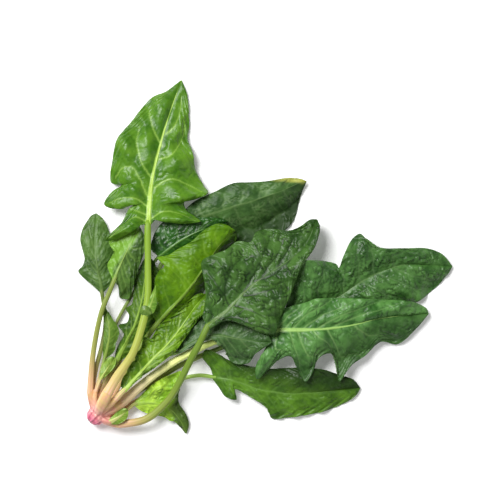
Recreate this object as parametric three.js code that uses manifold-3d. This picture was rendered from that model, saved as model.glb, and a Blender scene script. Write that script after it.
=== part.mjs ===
import * as THREE from 'three';
import Module from 'manifold-3d';

const wasm = await Module();
wasm.setup();

// Spinach bunch lying on its side, in millimetres: x to the leaf tips on the right, y to the tall leaf, z up.
// Points are given from a mark beside the crown, and the finished pieces are moved so that the origin is in the middle
// of the flat spot under the crown.
const BLADE_THICK = 0.8;
const RIB_THICK_BASE = 2.4;
const RIB_THICK_TIP = 1.0;
const BLADE_GAP = 1.5;
const STALK_GAP = 0.7;
const STALK_STEP = 8;
const STALK_SIDES = 8;
const STALK_FLATNESS = 0.82;
const JOIN_GAP = 0.9;
const VEIN_RIDGE = 0.5;
const CELL = 1.5;
const SETTLE_PASSES = 30;
const HALF_COLUMNS = [0, 0.1, 0.38, 0.7, 1];
const REFERENCE_HALF_WIDTH = 25;

const CROWN_CENTRE = [-5, -2, 8];
const CROWN_RADII = [9.5, 9, 9.5];
const FOOT_FLARE = 0.4;
const ROOT_CUT_DISTANCE = 8.5;
const ROOT_CUT_DIRECTION = [-0.7, -0.7, 0.1];

const PILE_LOW = [-60, -60];
const PILE_HIGH = [320, 310];

// The leaves in the order they lie, lowest first. Stalk and rib points have a height, the two margins are plan
// outlines from the foot of the blade to its tip, and the tilts (degrees) say how each half falls away from the rib.
const LEAVES = [
  {
    name: 'far_right',
    width: [5, 3.5],
    stalk: [[13.5, 9, 2.5], [35, 21.5, 3], [62, 38, 3], [95, 52, 4], [125, 63, 6]],
    rib: [[145, 72, 8], [158, 79, 9], [172, 86, 9], [188, 93, 8], [203, 103, 8], [220, 112, 9], [240, 118, 9],
      [260, 117.5, 6], [278.5, 116.5, 2]],
    left: [[145, 84], [150, 97], [153, 108], [157, 120], [166, 121.5], [178, 120.5], [185, 118.5], [187.5, 115.5],
      [190, 123], [196, 136], [203.5, 142.5], [210, 137.5], [220, 131.5], [240, 131], [257, 131], [270, 126.5]],
    right: [[156, 67], [168, 64], [182, 61], [188, 66], [194, 70], [203, 72], [212, 75], [222, 78], [231, 81],
      [240, 84], [248, 87], [255, 91], [261, 96], [267, 101], [272, 107], [276, 112]],
    leftTilt: [10, 14, 16, 10, -5],
    rightTilt: [0, -5, -8, -16, -10],
    arch: 4,
    wave: 2.5,
    ripples: 4,
  },
  {
    name: 'low_right',
    width: [4, 3],
    stalk: [[16, 3.5, 2.5], [42, 17, 3], [62, 26.5, 3], [76, 29.5, 4]],
    rib: [[87, 28.5, 5], [94, 28, 6], [102, 26.5, 7], [112, 23, 8], [124, 19, 8], [140, 16, 8], [160, 15.5, 7],
      [183, 17.5, 5], [205, 19.5, 2]],
    left: [[85, 36], [79, 44], [82, 50.5], [92, 47], [100, 42], [110, 39], [122, 36.5], [135, 35.5], [150, 36],
      [163, 36], [176, 34.5], [190, 29.5], [199, 26.5]],
    right: [[92, 20], [97, 13], [106, 10.5], [104.5, 19], [116, 13], [125, 7.5], [131, 2.5], [134.5, -5],
      [146, -4.5], [160, -2.5], [175, 0.5], [190, 6], [201, 13]],
    leftTilt: [0, 8, 12, 8],
    rightTilt: [0, -8, -14, -10],
    arch: 2.5,
    wave: 2,
    ripples: 4,
  },
  {
    name: 'yellow_tip',
    width: [4.5, 3],
    stalk: [[2.5, 18.7, 2.5], [13, 42, 3], [27, 75, 3], [43, 112, 3], [56, 136, 4]],
    rib: [[66, 150, 6], [82, 157, 9], [100, 163, 11], [120, 169, 12], [140, 176, 10], [154, 182, 6], [162, 184.5, 4]],
    left: [[63, 158], [72, 168], [88, 175.5], [103, 182.5], [118, 183.5], [132, 184.5], [146, 187], [156, 186.5]],
    right: [[76, 143], [90, 136.5], [104, 133], [119, 133], [134, 139], [146, 146.5], [153, 156], [157, 172]],
    leftTilt: [0, -6, -8, 0],
    rightTilt: [-10, -32, -38, -15],
    arch: 2.5,
    wave: 1.5,
    ripples: 3,
  },
  {
    name: 'glossy',
    width: [3, 2.5],
    stalk: [[-4.2, 20, 2.5], [2, 48, 3], [10, 71, 3], [21, 91, 3], [33, 110, 4]],
    rib: [[44, 124, 7], [52, 130, 9], [62, 137, 10], [73, 143, 10], [84, 147.5, 9], [100, 152, 6]],
    left: [[38, 131], [41, 143], [49, 153], [63, 157], [77, 155.5], [87, 155.5], [95, 154.5]],
    right: [[51, 121], [59, 124], [67, 128], [75, 133], [83, 138], [90, 143], [96, 148]],
    leftTilt: [-8, -15, -10],
    rightTilt: [-10, -10, -10],
    arch: 1.5,
    wave: 1,
    ripples: 4,
  },
  {
    name: 'rolled',
    width: [5, 4],
    stalk: [[-1, 19, 5], [4, 30, 4]],
    rib: [[11, 42, 5], [15, 50, 7], [19.5, 58, 8], [24, 67, 9], [28, 78, 9], [31, 90, 8], [33, 105, 6], [35, 125, 4]],
    left: [[10, 49], [13, 56], [16.5, 63], [12, 69.5], [19, 72], [20.5, 78], [18, 83], [23, 87], [24, 95],
      [24.5, 104], [27, 112], [31, 120]],
    right: [[19, 45], [25, 49], [31, 54], [37, 61], [43, 68], [47, 76], [49, 85], [49, 94], [47, 103], [45, 110],
      [42, 117], [39, 122]],
    leftTilt: [-20, -25, -30, -25],
    rightTilt: [-10, -12, -15, -10],
    arch: 2,
    wave: 1,
    ripples: 4,
  },
  {
    name: 'low',
    width: [4, 3],
    stalk: [[13.5, -2, 2.5], [19, 2.5, 4]],
    rib: [[25, 7, 6], [33, 8, 7], [41, 7.5, 7], [49, 5, 6], [56, 0, 5], [62, -8, 4], [66, -17, 2]],
    left: [[30, 14], [37, 21], [46, 27], [55, 31], [62, 33], [63, 26], [60, 18], [60, 8], [65, 0], [68, -9]],
    right: [[31, 1], [37, -1], [43, -2.5], [48, -3.5], [52, -6], [55, -7], [58, -8.5], [60.5, -11], [62.5, -13.5],
      [64.5, -16]],
    leftTilt: [0, 5, 0, -5],
    rightTilt: [-10, -10, -10],
    arch: 1.5,
    wave: 2.5,
    ripples: 4,
  },
  {
    name: 'folded',
    width: [5, 4],
    stalk: [[8.5, 15.3, 3], [18, 32, 4], [28, 49, 5], [37, 63, 6]],
    rib: [[44, 72, 8], [51, 79.5, 10], [60, 89, 12], [69, 99.5, 14], [77, 110.5, 14], [84, 120.5, 14],
      [91, 131.5, 13], [98, 139, 11], [105, 145, 8]],
    left: [[39.5, 79], [40.3, 92], [41.5, 106], [45, 113], [49, 117], [43.5, 123.5], [52, 125.5], [60, 130.5], [70, 136],
      [79, 144], [89, 150], [98, 149.5]],
    right: [[49, 68.5], [58, 71], [67, 77.5], [74.5, 87], [81, 98], [84, 105], [87.5, 112], [91.5, 119], [96, 126],
      [101, 131], [105, 136], [106.5, 141]],
    leftTilt: [-5, -5, -5, -10],
    rightTilt: [-20, -38, -40, -20],
    arch: 2,
    wave: 1.2,
    ripples: 3,
  },
  {
    name: 'right',
    width: [8, 4.5],
    stalk: [[15, 8.5, 7.5], [35, 26, 8], [50, 37, 9], [65, 46, 9], [80, 53.5, 9], [95, 59, 9], [114, 64, 10]],
    rib: [[130, 65.5, 12], [133.5, 65.8, 13], [139, 66, 14], [147.5, 66.3, 15], [157.5, 66.5, 15], [168.5, 66.8, 15],
      [181, 68, 15], [199, 70.7, 14], [223, 76, 11], [259.5, 79, 3]],
    left: [[132, 72], [135, 76], [139, 80], [143, 83], [148.5, 85], [155, 86.5], [162, 88.5], [168, 91], [176, 91.5],
      [185, 91.5], [194, 91.5], [203, 91.3], [212, 90.8], [221, 90.3], [230, 90], [239, 89.5], [247, 88], [253, 86],
      [257.5, 83]],
    right: [[132, 56], [127, 47], [121.5, 38], [122.5, 27.5], [131, 34.5], [140, 43], [149, 45.5], [154, 36],
      [160.5, 25.5], [167, 33.5], [171, 44], [181, 47.5], [185.5, 38], [188, 25.5], [197, 37.5], [209, 46],
      [221, 56.5], [235, 54.5], [249, 66.5]],
    leftTilt: [0, 4, 0, -6],
    rightTilt: [-8, -14, -28, -36, -20],
    arch: 3,
    wave: 2,
    ripples: 5,
  },
  {
    name: 'under',
    width: [4, 3],
    stalk: [[11, 12.5, 6], [24, 27, 7], [36, 39, 8], [48, 45.5, 9]],
    rib: [[60, 49, 10], [70, 55.5, 11], [80, 60, 12], [92, 62, 12], [104, 60, 11], [118, 58, 9], [134, 57, 8]],
    left: [[61, 55], [65, 63], [71, 71], [77, 78], [86, 80], [97, 80], [107, 79], [117, 76], [126, 71], [131, 64]],
    right: [[70, 52.5], [80, 57.5], [90, 59.5], [95, 55], [98, 48], [101.5, 41.5], [108, 39], [116, 40.5],
      [121, 47.5], [127, 52]],
    leftTilt: [-10, -10, -5, 0],
    rightTilt: [-20, -30, -35, -20],
    arch: 2,
    wave: 1.5,
    ripples: 4,
  },
  {
    name: 'ragged',
    width: [5, 4],
    stalk: [[12, 13.5, 9]],
    rib: [[17.5, 19, 10], [22, 23.2, 10.5], [26, 27.5, 11], [31, 33, 12], [36.5, 39, 12], [42, 45, 12], [48, 51, 12], [54, 57.5, 12], [60, 65, 12],
      [66, 74, 12], [73, 84, 11], [82, 95, 9]],
    left: [[15, 23.5], [16.5, 29], [20, 33.6], [20.6, 39.6], [26.5, 43], [25, 48], [30.5, 51.5], [33, 61],
      [38.8, 59.8], [42.8, 67], [47.3, 72.2], [53.2, 76], [58, 79.6], [63, 84.3], [69, 90], [75, 94.5]],
    right: [[21.5, 20.8], [27, 25.8], [32.5, 30.5], [38.5, 34.5], [44.5, 39], [51, 44], [57.5, 49], [61, 53.5],
      [64, 58], [67.5, 62.5], [70.5, 67.5], [74, 72], [77.5, 76.5], [80.5, 80.5], [83, 84.5], [85, 89.5]],
    leftTilt: [10, 15, 0, 0],
    rightTilt: [-10, -10, -10, 0],
    arch: 1.5,
    wave: 2.5,
    ripples: 6,
  },
  {
    name: 'far_left',
    width: [4, 3],
    stalk: [[-8.5, 19.5, 4], [-6, 35, 4], [-2, 50, 4], [1, 65, 4], [1.5, 78, 5], [0, 88, 6]],
    rib: [[-1, 96, 8], [-2, 103, 9], [-3.5, 110, 9], [-5, 118, 9], [-6.5, 128, 8], [-7, 140, 6], [-6, 159, 2]],
    left: [[-8, 101], [-14, 106], [-20, 112.5], [-16.5, 117], [-15, 123], [-17, 131], [-18.5, 138], [-17.5, 144],
      [-15.5, 149], [-13, 153], [-10, 157]],
    right: [[4, 100], [8, 104.5], [8.5, 110], [5.5, 115], [6.5, 121], [8, 128], [7.5, 134], [5.5, 141], [3.5, 146.5],
      [2, 150.5], [-1.5, 155.5]],
    leftTilt: [-10, -10, -10],
    rightTilt: [-15, -10, -10],
    arch: 2.5,
    wave: 1,
    ripples: 3,
  },
  {
    name: 'slim',
    width: [3, 2.5],
    stalk: [[-5, 20, 9], [-1.5, 33, 9]],
    rib: [[1.5, 44, 9], [3.5, 52, 10], [5, 60, 10], [5, 68, 9], [3.5, 76, 7], [1, 84, 4]],
    left: [[0, 51], [0.5, 58], [1, 65], [1, 71], [0.5, 76], [0, 80.5]],
    right: [[9, 49], [10.5, 56], [13, 63], [11.5, 69], [8, 74.5], [4.5, 80]],
    leftTilt: [-15, -15, -10],
    rightTilt: [-10, -10, -10],
    arch: 1.5,
    wave: 0.8,
    ripples: 3,
  },
  {
    name: 'left',
    width: [5, 3.5],
    stalk: [[-10, 18, 9], [-8.5, 40, 9], [-6.5, 55, 9], [-3.5, 70, 10], [0, 83, 11], [5, 95, 12]],
    rib: [[9.5, 106, 13], [12, 112, 14], [14.5, 118, 14], [17.5, 124.5, 14], [21, 132, 13], [25, 140, 12],
      [29, 149, 10]],
    left: [[5.5, 112], [4, 118], [7, 124], [9, 128.5], [6, 133], [5, 137.5], [10, 142], [16, 145], [22, 148]],
    right: [[12.5, 99], [13, 91.8], [16.5, 90.5], [20.5, 91], [23, 97], [26, 107], [29, 117], [32.5, 127], [34, 138]],
    leftTilt: [5, 0, -10],
    rightTilt: [-30, -30, -25, -10],
    arch: 2,
    wave: 1.2,
    ripples: 3,
  },
  {
    name: 'bud',
    width: [2.5, 2],
    stalk: [[-4.5, 19.5, 9]],
    rib: [[-1.5, 27, 10], [1.5, 32, 11], [4, 36, 11], [6.5, 40, 10], [9, 45, 9]],
    left: [[-2, 33], [-0.5, 38], [2, 42], [5.5, 45]],
    right: [[4, 31], [7.5, 34.5], [9.8, 38], [10.5, 42]],
    leftTilt: [-10, -10],
    rightTilt: [-10, -10],
    arch: 1,
    wave: 0.6,
    ripples: 2,
  },
  {
    name: 'netted',
    width: [6.5, 5],
    stalk: [[15, -8.5, 9], [29, -6.5, 9], [40, -1, 9], [53, 12, 10], [61, 25, 11], [70, 43, 12], [77, 56, 13]],
    rib: [[84, 70, 15], [92, 76.5, 16], [99, 82, 17], [111, 95, 17], [123, 105, 17], [137, 114.5, 17], [151, 124, 16],
      [162, 135, 14], [170, 154, 10]],
    left: [[79.5, 77], [81, 85], [82, 93], [81, 104], [78.5, 120], [88, 126], [98, 130], [107, 136.5], [117, 136],
      [122, 144], [133, 146.5], [147, 145], [156, 148], [164, 153.5]],
    right: [[97, 74], [108, 72], [118, 68], [127, 64], [136, 63.5], [139, 72], [142, 79], [145, 86], [149, 95],
      [152, 103], [156, 113], [161, 122], [168, 132], [172, 146]],
    leftTilt: [0, -5, -8, -6],
    rightTilt: [-20, -18, -20, -15],
    arch: 3,
    wave: 2,
    ripples: 5,
  },
  {
    name: 'tall',
    width: [8, 5],
    stalk: [[6, 19, 15], [12.5, 30, 15], [19.5, 40, 15], [25.5, 50, 15], [32, 70, 14], [36, 90, 12], [36.2, 110, 11],
      [36, 132, 11]],
    rib: [[36, 150, 11], [36.2, 154, 11], [36.5, 158, 11], [36.8, 163, 11], [37.4, 171, 11], [38.6, 182, 11],
      [42.4, 201, 10], [51, 233, 5.5], [62, 265.5, 0.6]],
    left: [[27, 148], [19, 142], [10, 138], [2.5, 137], [8, 144], [15, 151], [20, 161], [23.5, 165.5], [13, 162],
      [1, 165.5], [7, 176], [14, 181], [5.7, 184], [7, 200], [11, 218], [22, 232], [37, 250.5], [50, 256.5]],
    right: [[43, 154], [50, 152.5], [63, 150.5], [77.5, 152], [72, 157], [66, 162], [65, 168], [74, 170],
      [83.5, 174.5], [80, 181], [76, 188], [73, 195], [72, 204], [70, 211], [67, 218], [68.3, 228], [68, 240],
      [66.5, 254]],
    leftTilt: [0, 0, -6, -8, -10],
    rightTilt: [0, 0, -8, -10, -10],
    arch: 4,
    wave: 2,
    ripples: 4,
  },
  {
    name: 'young',
    width: [6, 4],
    stalk: [],
    rib: [[6, -6.5, 15], [10, -4.5, 16], [14, -2, 16], [17, 0.5, 16], [20, 3.5, 15]],
    left: [[8, -2], [11, 1], [14.5, 3.5], [18, 4.5]],
    right: [[11, -8.5], [15.5, -7], [19, -4], [20.5, 0]],
    leftTilt: [-10, -10],
    rightTilt: [-15, -10],
    arch: 1,
    wave: 0.5,
    ripples: 2,
  },
];

const vector = ([x, y, z = 0]) => new THREE.Vector3(x, y, z);

// A smooth line through the points, each point an equal step of t.
function lineThrough(points) {
  return new THREE.CatmullRomCurve3(points.map(vector), false, 'catmullrom', 0.5);
}

// The value at t of a list of values spread evenly from 0 to 1.
function valueAt(values, t) {
  const place = Math.min(t, 0.999999) * (values.length - 1);
  const first = Math.floor(place);
  return values[first] + (values[first + 1] - values[first]) * (place - first);
}

// Unit vector to the left of a direction, in plan.
function leftOf(direction) {
  return new THREE.Vector3(-direction.y, direction.x, 0).normalize();
}

// The stalk as a row of stations, each a point with a half width, ending at the foot of the blade.
function stalkStations(leaf) {
  if (leaf.stalk.length === 0) return [];
  const line = lineThrough([...leaf.stalk, ...leaf.rib.slice(0, 2)]);
  const spans = leaf.stalk.length + 1;
  const reach = leaf.stalk.length / spans;
  let length = 0;
  const points = leaf.stalk.map(vector).concat([vector(leaf.rib[0])]);
  for (let i = 1; i < points.length; i += 1) length += points[i].distanceTo(points[i - 1]);
  const count = Math.max(2, Math.round(length / STALK_STEP));
  const stations = [];
  for (let i = 0; i < count; i += 1) {
    const share = i / count;
    const half = (leaf.width[0] + (leaf.width[1] - leaf.width[0]) * Math.sqrt(share)) / 2;
    const point = line.getPoint(share * reach);
    point.z = Math.max(point.z, half);
    stations.push({ point, half, side: leftOf(line.getTangent(share * reach)) });
  }
  return stations;
}

// The middle surface of a blade: one row per margin point, columns from the left margin over the rib to the right.
function bladeRows(leaf) {
  const rib = lineThrough(leaf.rib);
  const foot = vector(leaf.rib[0]);
  const heading = vector(leaf.rib[1]).sub(foot);
  const side = leftOf(heading).multiplyScalar(leaf.width[1] / 2);
  const tip = leaf.rib[leaf.rib.length - 1];
  const margins = [
    { outline: [foot.clone().add(side).toArray(), ...leaf.left, tip], tilt: leaf.leftTilt, sign: -1 },
    { outline: [foot.clone().sub(side).toArray(), ...leaf.right, tip], tilt: leaf.rightTilt, sign: 1 },
  ];
  const last = leaf.left.length + 1;
  const rows = [];
  for (let i = 0; i <= last; i += 1) {
    const t = i / last;
    const centre = rib.getPoint(t);
    const halves = margins.map(({ outline, tilt, sign }) => {
      const reach = vector(outline[i]).sub(centre).setZ(0);
      const width = reach.length();
      const size = width / REFERENCE_HALF_WIDTH;
      const fall = Math.tan(THREE.MathUtils.degToRad(valueAt(tilt, t))) * width;
      const ripple = leaf.wave * size * Math.sin(2 * Math.PI * (leaf.ripples * t + 0.15 * sign + 0.3));
      return HALF_COLUMNS.map((s) => {
        const point = centre.clone().addScaledVector(reach, s);
        const bow = 4 * s * (1 - s);
        const vein = i % 2 === 0 ? VEIN_RIDGE : -VEIN_RIDGE;
        const height = centre.z + fall * s + leaf.arch * size * bow + ripple * s * s + vein * size * bow;
        point.z = Math.max(height, BLADE_THICK / 2);
        return point;
      });
    });
    rows.push([...halves[0].slice(1).reverse(), ...halves[1]]);
  }
  return rows;
}

// The pile of leaves so far, as the height of its top over a grid of cells.
class Pile {
  constructor() {
    this.columns = Math.ceil((PILE_HIGH[0] - PILE_LOW[0]) / CELL);
    this.rows = Math.ceil((PILE_HIGH[1] - PILE_LOW[1]) / CELL);
    this.top = new Float64Array(this.columns * this.rows);
  }

  // The cells under a triangle, each with its share of the three corners.
  cells(a, b, c) {
    const found = [];
    const area = (b.x - a.x) * (c.y - a.y) - (c.x - a.x) * (b.y - a.y);
    if (Math.abs(area) < 1e-6) return found;
    const place = (value, axis) => Math.floor((value - PILE_LOW[axis]) / CELL);
    const lowX = place(Math.min(a.x, b.x, c.x), 0);
    const highX = place(Math.max(a.x, b.x, c.x), 0);
    const lowY = place(Math.min(a.y, b.y, c.y), 1);
    const highY = place(Math.max(a.y, b.y, c.y), 1);
    for (let row = lowY; row <= highY; row += 1) {
      for (let column = lowX; column <= highX; column += 1) {
        const x = PILE_LOW[0] + (column + 0.5) * CELL;
        const y = PILE_LOW[1] + (row + 0.5) * CELL;
        const shareB = ((x - a.x) * (c.y - a.y) - (c.x - a.x) * (y - a.y)) / area;
        const shareC = ((b.x - a.x) * (y - a.y) - (x - a.x) * (b.y - a.y)) / area;
        const shareA = 1 - shareB - shareC;
        if (Math.min(shareA, shareB, shareC) > -0.05) found.push({ column, row, shares: [shareA, shareB, shareC] });
      }
    }
    return found;
  }

  // The highest top among a cell and its neighbours.
  around(column, row) {
    let highest = 0;
    for (let y = row - 1; y <= row + 1; y += 1) {
      for (let x = column - 1; x <= column + 1; x += 1) highest = Math.max(highest, this.top[y * this.columns + x]);
    }
    return highest;
  }
}

// The two triangles of every square of a grid of points, as places in the grid.
function gridTriangles(grid) {
  const triangles = [];
  for (let i = 0; i + 1 < grid.length; i += 1) {
    for (let j = 0; j + 1 < grid[i].length; j += 1) {
      triangles.push([[i, j], [i + 1, j], [i + 1, j + 1]], [[i, j], [i + 1, j + 1], [i, j + 1]]);
    }
  }
  return triangles;
}

// Lifts a leaf onto the pile: every point clears what lies below it, and the lift eases off around it.
function layOnPile(pile, stations, rows) {
  const columns = rows[0].length;
  const wide = stations.map(({ point, half, side }) => Array.from({ length: columns }, (_, j) => (
    point.clone().addScaledVector(side, half * (1 - (2 * j) / (columns - 1))))));
  const grid = [...wide, ...rows];
  const halfThick = [...stations.map(({ half }) => half * STALK_FLATNESS), ...rows.map(() => BLADE_THICK / 2)];
  const gap = (i) => (i < stations.length ? STALK_GAP : BLADE_GAP);
  const need = grid.map((row) => row.map(() => 0));
  const triangles = gridTriangles(grid);
  for (const corners of triangles) {
    const points = corners.map(([i, j]) => grid[i][j]);
    for (const { column, row, shares } of pile.cells(...points)) {
      const below = pile.around(column, row);
      if (below > 0) {
        const lowest = shares.reduce((sum, share, k) => sum + share * (points[k].z - halfThick[corners[k][0]]), 0);
        const missing = below + gap(corners[0][0]) - lowest;
        for (const [i, j] of corners) need[i][j] = Math.max(need[i][j], missing);
      }
    }
  }
  const evenStalk = (values) => {
    for (let i = 0; i < stations.length; i += 1) values[i].fill(Math.max(...values[i]));
  };
  evenStalk(need);
  let lift = need.map((row) => [...row]);
  for (let pass = 0; pass < SETTLE_PASSES; pass += 1) {
    lift = lift.map((row, i) => row.map((value, j) => {
      const before = lift[Math.max(i - 1, 0)][j];
      const after = lift[Math.min(i + 1, lift.length - 1)][j];
      const leftward = row[Math.max(j - 1, 0)];
      const rightward = row[Math.min(j + 1, columns - 1)];
      return Math.max(need[i][j], 0.3 * value + 0.25 * (before + after) + 0.1 * (leftward + rightward));
    }));
    evenStalk(lift);
  }
  stations.forEach((station, i) => { station.point.z += lift[i][0]; });
  grid.forEach((row, i) => row.forEach((point, j) => { point.z += lift[i][j]; }));
  for (const corners of triangles) {
    const points = corners.map(([i, j]) => grid[i][j]);
    for (const { column, row, shares } of pile.cells(...points)) {
      const top = shares.reduce((sum, share, k) => sum + share * (points[k].z + halfThick[corners[k][0]]), 0);
      const cell = row * pile.columns + column;
      pile.top[cell] = Math.max(pile.top[cell], top);
    }
  }
}

function geometryOf(points, triangles) {
  const geometry = new THREE.BufferGeometry();
  geometry.setAttribute('position', new THREE.Float32BufferAttribute(points.flatMap((p) => p.toArray()), 3));
  geometry.setIndex(triangles.flat());
  geometry.computeVertexNormals();
  return geometry;
}

// A blade as a closed sheet, thicker along the rib, its two faces split alike.
function bladeGeometry(rows) {
  const last = rows.length - 1;
  const columns = rows[0].length;
  const middle = (columns - 1) / 2;
  const upper = [];
  const lower = [];
  for (let i = 0; i <= last; i += 1) {
    for (let j = 0; j < columns; j += 1) {
      const along = rows[Math.min(i + 1, last)][j].clone().sub(rows[Math.max(i - 1, 0)][j]);
      const across = rows[i][Math.min(j + 1, columns - 1)].clone().sub(rows[i][Math.max(j - 1, 0)]);
      const normal = across.cross(along);
      if (normal.length() < 1e-6 || i === last) normal.set(0, 0, 1);
      normal.normalize();
      if (normal.z < 0.5) normal.setZ(0.5).normalize();
      const ribThick = RIB_THICK_BASE + (RIB_THICK_TIP - RIB_THICK_BASE) * (i / last);
      const half = (j === middle ? ribThick : BLADE_THICK) / 2;
      upper.push(rows[i][j].clone().addScaledVector(normal, half));
      lower.push(rows[i][j].clone().addScaledVector(normal, -half));
    }
  }
  for (const point of lower) point.z = Math.max(point.z, 0);
  const points = [...upper, ...lower];
  const offset = upper.length;
  const at = (i, j) => i * columns + j;
  const triangles = [];
  const square = (a, b, c, d) => {
    triangles.push([a, b, c], [a, c, d]);
    triangles.push([a + offset, c + offset, b + offset], [a + offset, d + offset, c + offset]);
  };
  for (let i = 0; i + 1 < last; i += 1) {
    for (let j = 0; j + 1 < columns; j += 1) square(at(i, j), at(i, j + 1), at(i + 1, j + 1), at(i + 1, j));
  }
  const tip = at(last, middle);
  for (let j = 0; j + 1 < columns; j += 1) {
    const a = at(last - 1, j);
    triangles.push([a, a + 1, tip], [a + offset, tip + offset, a + 1 + offset]);
  }
  const rim = [];
  for (let j = 0; j < columns; j += 1) rim.push(at(0, j));
  for (let i = 1; i < last; i += 1) rim.push(at(i, columns - 1));
  rim.push(tip);
  for (let i = last - 1; i > 0; i -= 1) rim.push(at(i, 0));
  rim.forEach((a, k) => {
    const b = rim[(k + 1) % rim.length];
    triangles.push([a, a + offset, b + offset], [a, b + offset, b]);
  });
  const used = [...new Set(triangles.flat())].sort((a, b) => a - b);
  const renumber = new Map(used.map((old, k) => [old, k]));
  return geometryOf(used.map((k) => points[k]), triangles.map((t) => t.map((k) => renumber.get(k))));
}

// A stalk as a closed tube through stations with a half width each, a little flatter than it is wide.
function tubeGeometry(stations) {
  const points = [];
  const last = stations.length - 1;
  stations.forEach(({ point, half, heading }, i) => {
    const chord = stations[Math.min(i + 1, last)].point.clone().sub(stations[Math.max(i - 1, 0)].point).normalize();
    const along = heading ?? chord;
    const side = leftOf(along);
    const up = along.clone().cross(side).normalize();
    for (let k = 0; k < STALK_SIDES; k += 1) {
      const angle = (2 * Math.PI * k) / STALK_SIDES;
      const ring = point.clone().addScaledVector(side, half * Math.cos(angle));
      points.push(ring.addScaledVector(up, half * STALK_FLATNESS * Math.sin(angle)));
    }
  });
  const triangles = [];
  for (let i = 0; i < last; i += 1) {
    for (let k = 0; k < STALK_SIDES; k += 1) {
      const next = (k + 1) % STALK_SIDES;
      const a = i * STALK_SIDES + k;
      const b = i * STALK_SIDES + next;
      triangles.push([a, b, b + STALK_SIDES], [a, b + STALK_SIDES, a + STALK_SIDES]);
    }
  }
  points.push(stations[0].point.clone(), stations[last].point.clone());
  for (let k = 0; k < STALK_SIDES; k += 1) {
    const next = (k + 1) % STALK_SIDES;
    triangles.push([points.length - 2, next, k]);
    triangles.push([points.length - 1, last * STALK_SIDES + k, last * STALK_SIDES + next]);
  }
  return geometryOf(points, triangles);
}

function solidOf(geometry) {
  const vertProperties = new Float32Array(geometry.attributes.position.array);
  const triVerts = new Uint32Array(geometry.index.array);
  const mesh = new wasm.Mesh({ numProp: 3, vertProperties, triVerts });
  mesh.merge();
  return new wasm.Manifold(mesh);
}

function geometryOfSolid(solid) {
  const mesh = solid.getMesh();
  const geometry = new THREE.BufferGeometry();
  geometry.setAttribute('position', new THREE.Float32BufferAttribute(mesh.vertProperties, 3));
  geometry.setIndex([...mesh.triVerts]);
  geometry.computeVertexNormals();
  return geometry;
}

// The crown: a rounded stub with the flared foot of every stalk, cut flat below and across the root.
function crownGeometry(feet) {
  const centre = vector(CROWN_CENTRE);
  let crown = wasm.Manifold.sphere(1, 24).scale(CROWN_RADII).translate(CROWN_CENTRE);
  for (const { point, half, heading } of feet) {
    const end = point.clone().addScaledVector(heading, -JOIN_GAP);
    const bend = end.clone().addScaledVector(heading, -0.35 * end.distanceTo(centre));
    const line = new THREE.QuadraticBezierCurve3(centre, bend, end);
    const stations = [0.15, 0.45, 0.75].map((t) => ({ point: line.getPoint(t), half: half * (1 + FOOT_FLARE * (1 - t)) }));
    crown = crown.add(solidOf(tubeGeometry([...stations, { point: end, half, heading }])));
  }
  const below = wasm.Manifold.cube([200, 200, 100], true).translate([0, 0, -50]);
  const direction = vector(ROOT_CUT_DIRECTION).normalize();
  const rootCut = crown.trimByPlane(direction.clone().negate().toArray(), -direction.dot(centre) - ROOT_CUT_DISTANCE);
  return geometryOfSolid(rootCut.subtract(below));
}

const bunch = new THREE.Group();

function addPiece(name, geometry) {
  const mesh = new THREE.Mesh(geometry.translate(-CROWN_CENTRE[0], -CROWN_CENTRE[1], 0));
  mesh.name = name;
  bunch.add(mesh);
}

const pile = new Pile();
const feet = [];
for (const leaf of LEAVES) {
  const stations = stalkStations(leaf);
  const rows = bladeRows(leaf);
  layOnPile(pile, stations, rows);
  const middle = (rows[0].length - 1) / 2;
  const foot = rows[0][middle];
  const heading = rows[1][middle].clone().sub(foot).normalize();
  addPiece(`${leaf.name}_blade`, bladeGeometry(rows));
  if (stations.length > 0) {
    stations[0].heading = stations[1].point.clone().sub(stations[0].point).normalize();
    const end = foot.clone().addScaledVector(heading, -JOIN_GAP);
    addPiece(`${leaf.name}_stalk`, tubeGeometry([...stations, { point: end, half: leaf.width[1] / 2, heading }]));
    feet.push(stations[0]);
  } else {
    feet.push({ point: foot, half: leaf.width[1] / 2, heading });
  }
}
addPiece('crown', crownGeometry(feet));

export default bunch;
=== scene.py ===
import math

import bpy
import mathutils
import numpy as np
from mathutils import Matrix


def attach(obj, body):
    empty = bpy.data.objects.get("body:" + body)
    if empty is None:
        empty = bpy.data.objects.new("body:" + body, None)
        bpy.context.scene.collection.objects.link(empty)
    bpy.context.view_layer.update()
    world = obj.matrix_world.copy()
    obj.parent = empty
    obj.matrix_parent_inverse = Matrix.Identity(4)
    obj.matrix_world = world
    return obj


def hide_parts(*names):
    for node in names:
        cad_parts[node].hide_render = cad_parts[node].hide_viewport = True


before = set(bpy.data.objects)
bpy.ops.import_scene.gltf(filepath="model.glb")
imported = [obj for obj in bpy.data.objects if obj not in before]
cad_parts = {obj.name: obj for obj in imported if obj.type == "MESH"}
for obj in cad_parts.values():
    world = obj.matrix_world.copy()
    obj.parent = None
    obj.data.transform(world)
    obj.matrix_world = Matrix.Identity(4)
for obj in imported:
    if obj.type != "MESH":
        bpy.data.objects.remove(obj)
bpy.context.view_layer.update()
bpy.ops.object.select_all(action="DESELECT")

mm = 0.001
fullTurn = 6.28
seedOfPlant = 11

# how the leaves lie on each other, in mm, as in the solids
pileRules = {
    "bladeThick": 0.8,
    "bladeGap": 1.5,
    "stalkGap": 0.7,
    "stalkStep": 8,
    "flatness": 0.82,
    "cell": 1.5,
    "passes": 30,
    "columns": [0, 0.1, 0.38, 0.7, 1],
    "halfWidth": 25,
    "ridge": 0.5,
    "low": (-60, -60),
    "high": (320, 310),
}

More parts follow.
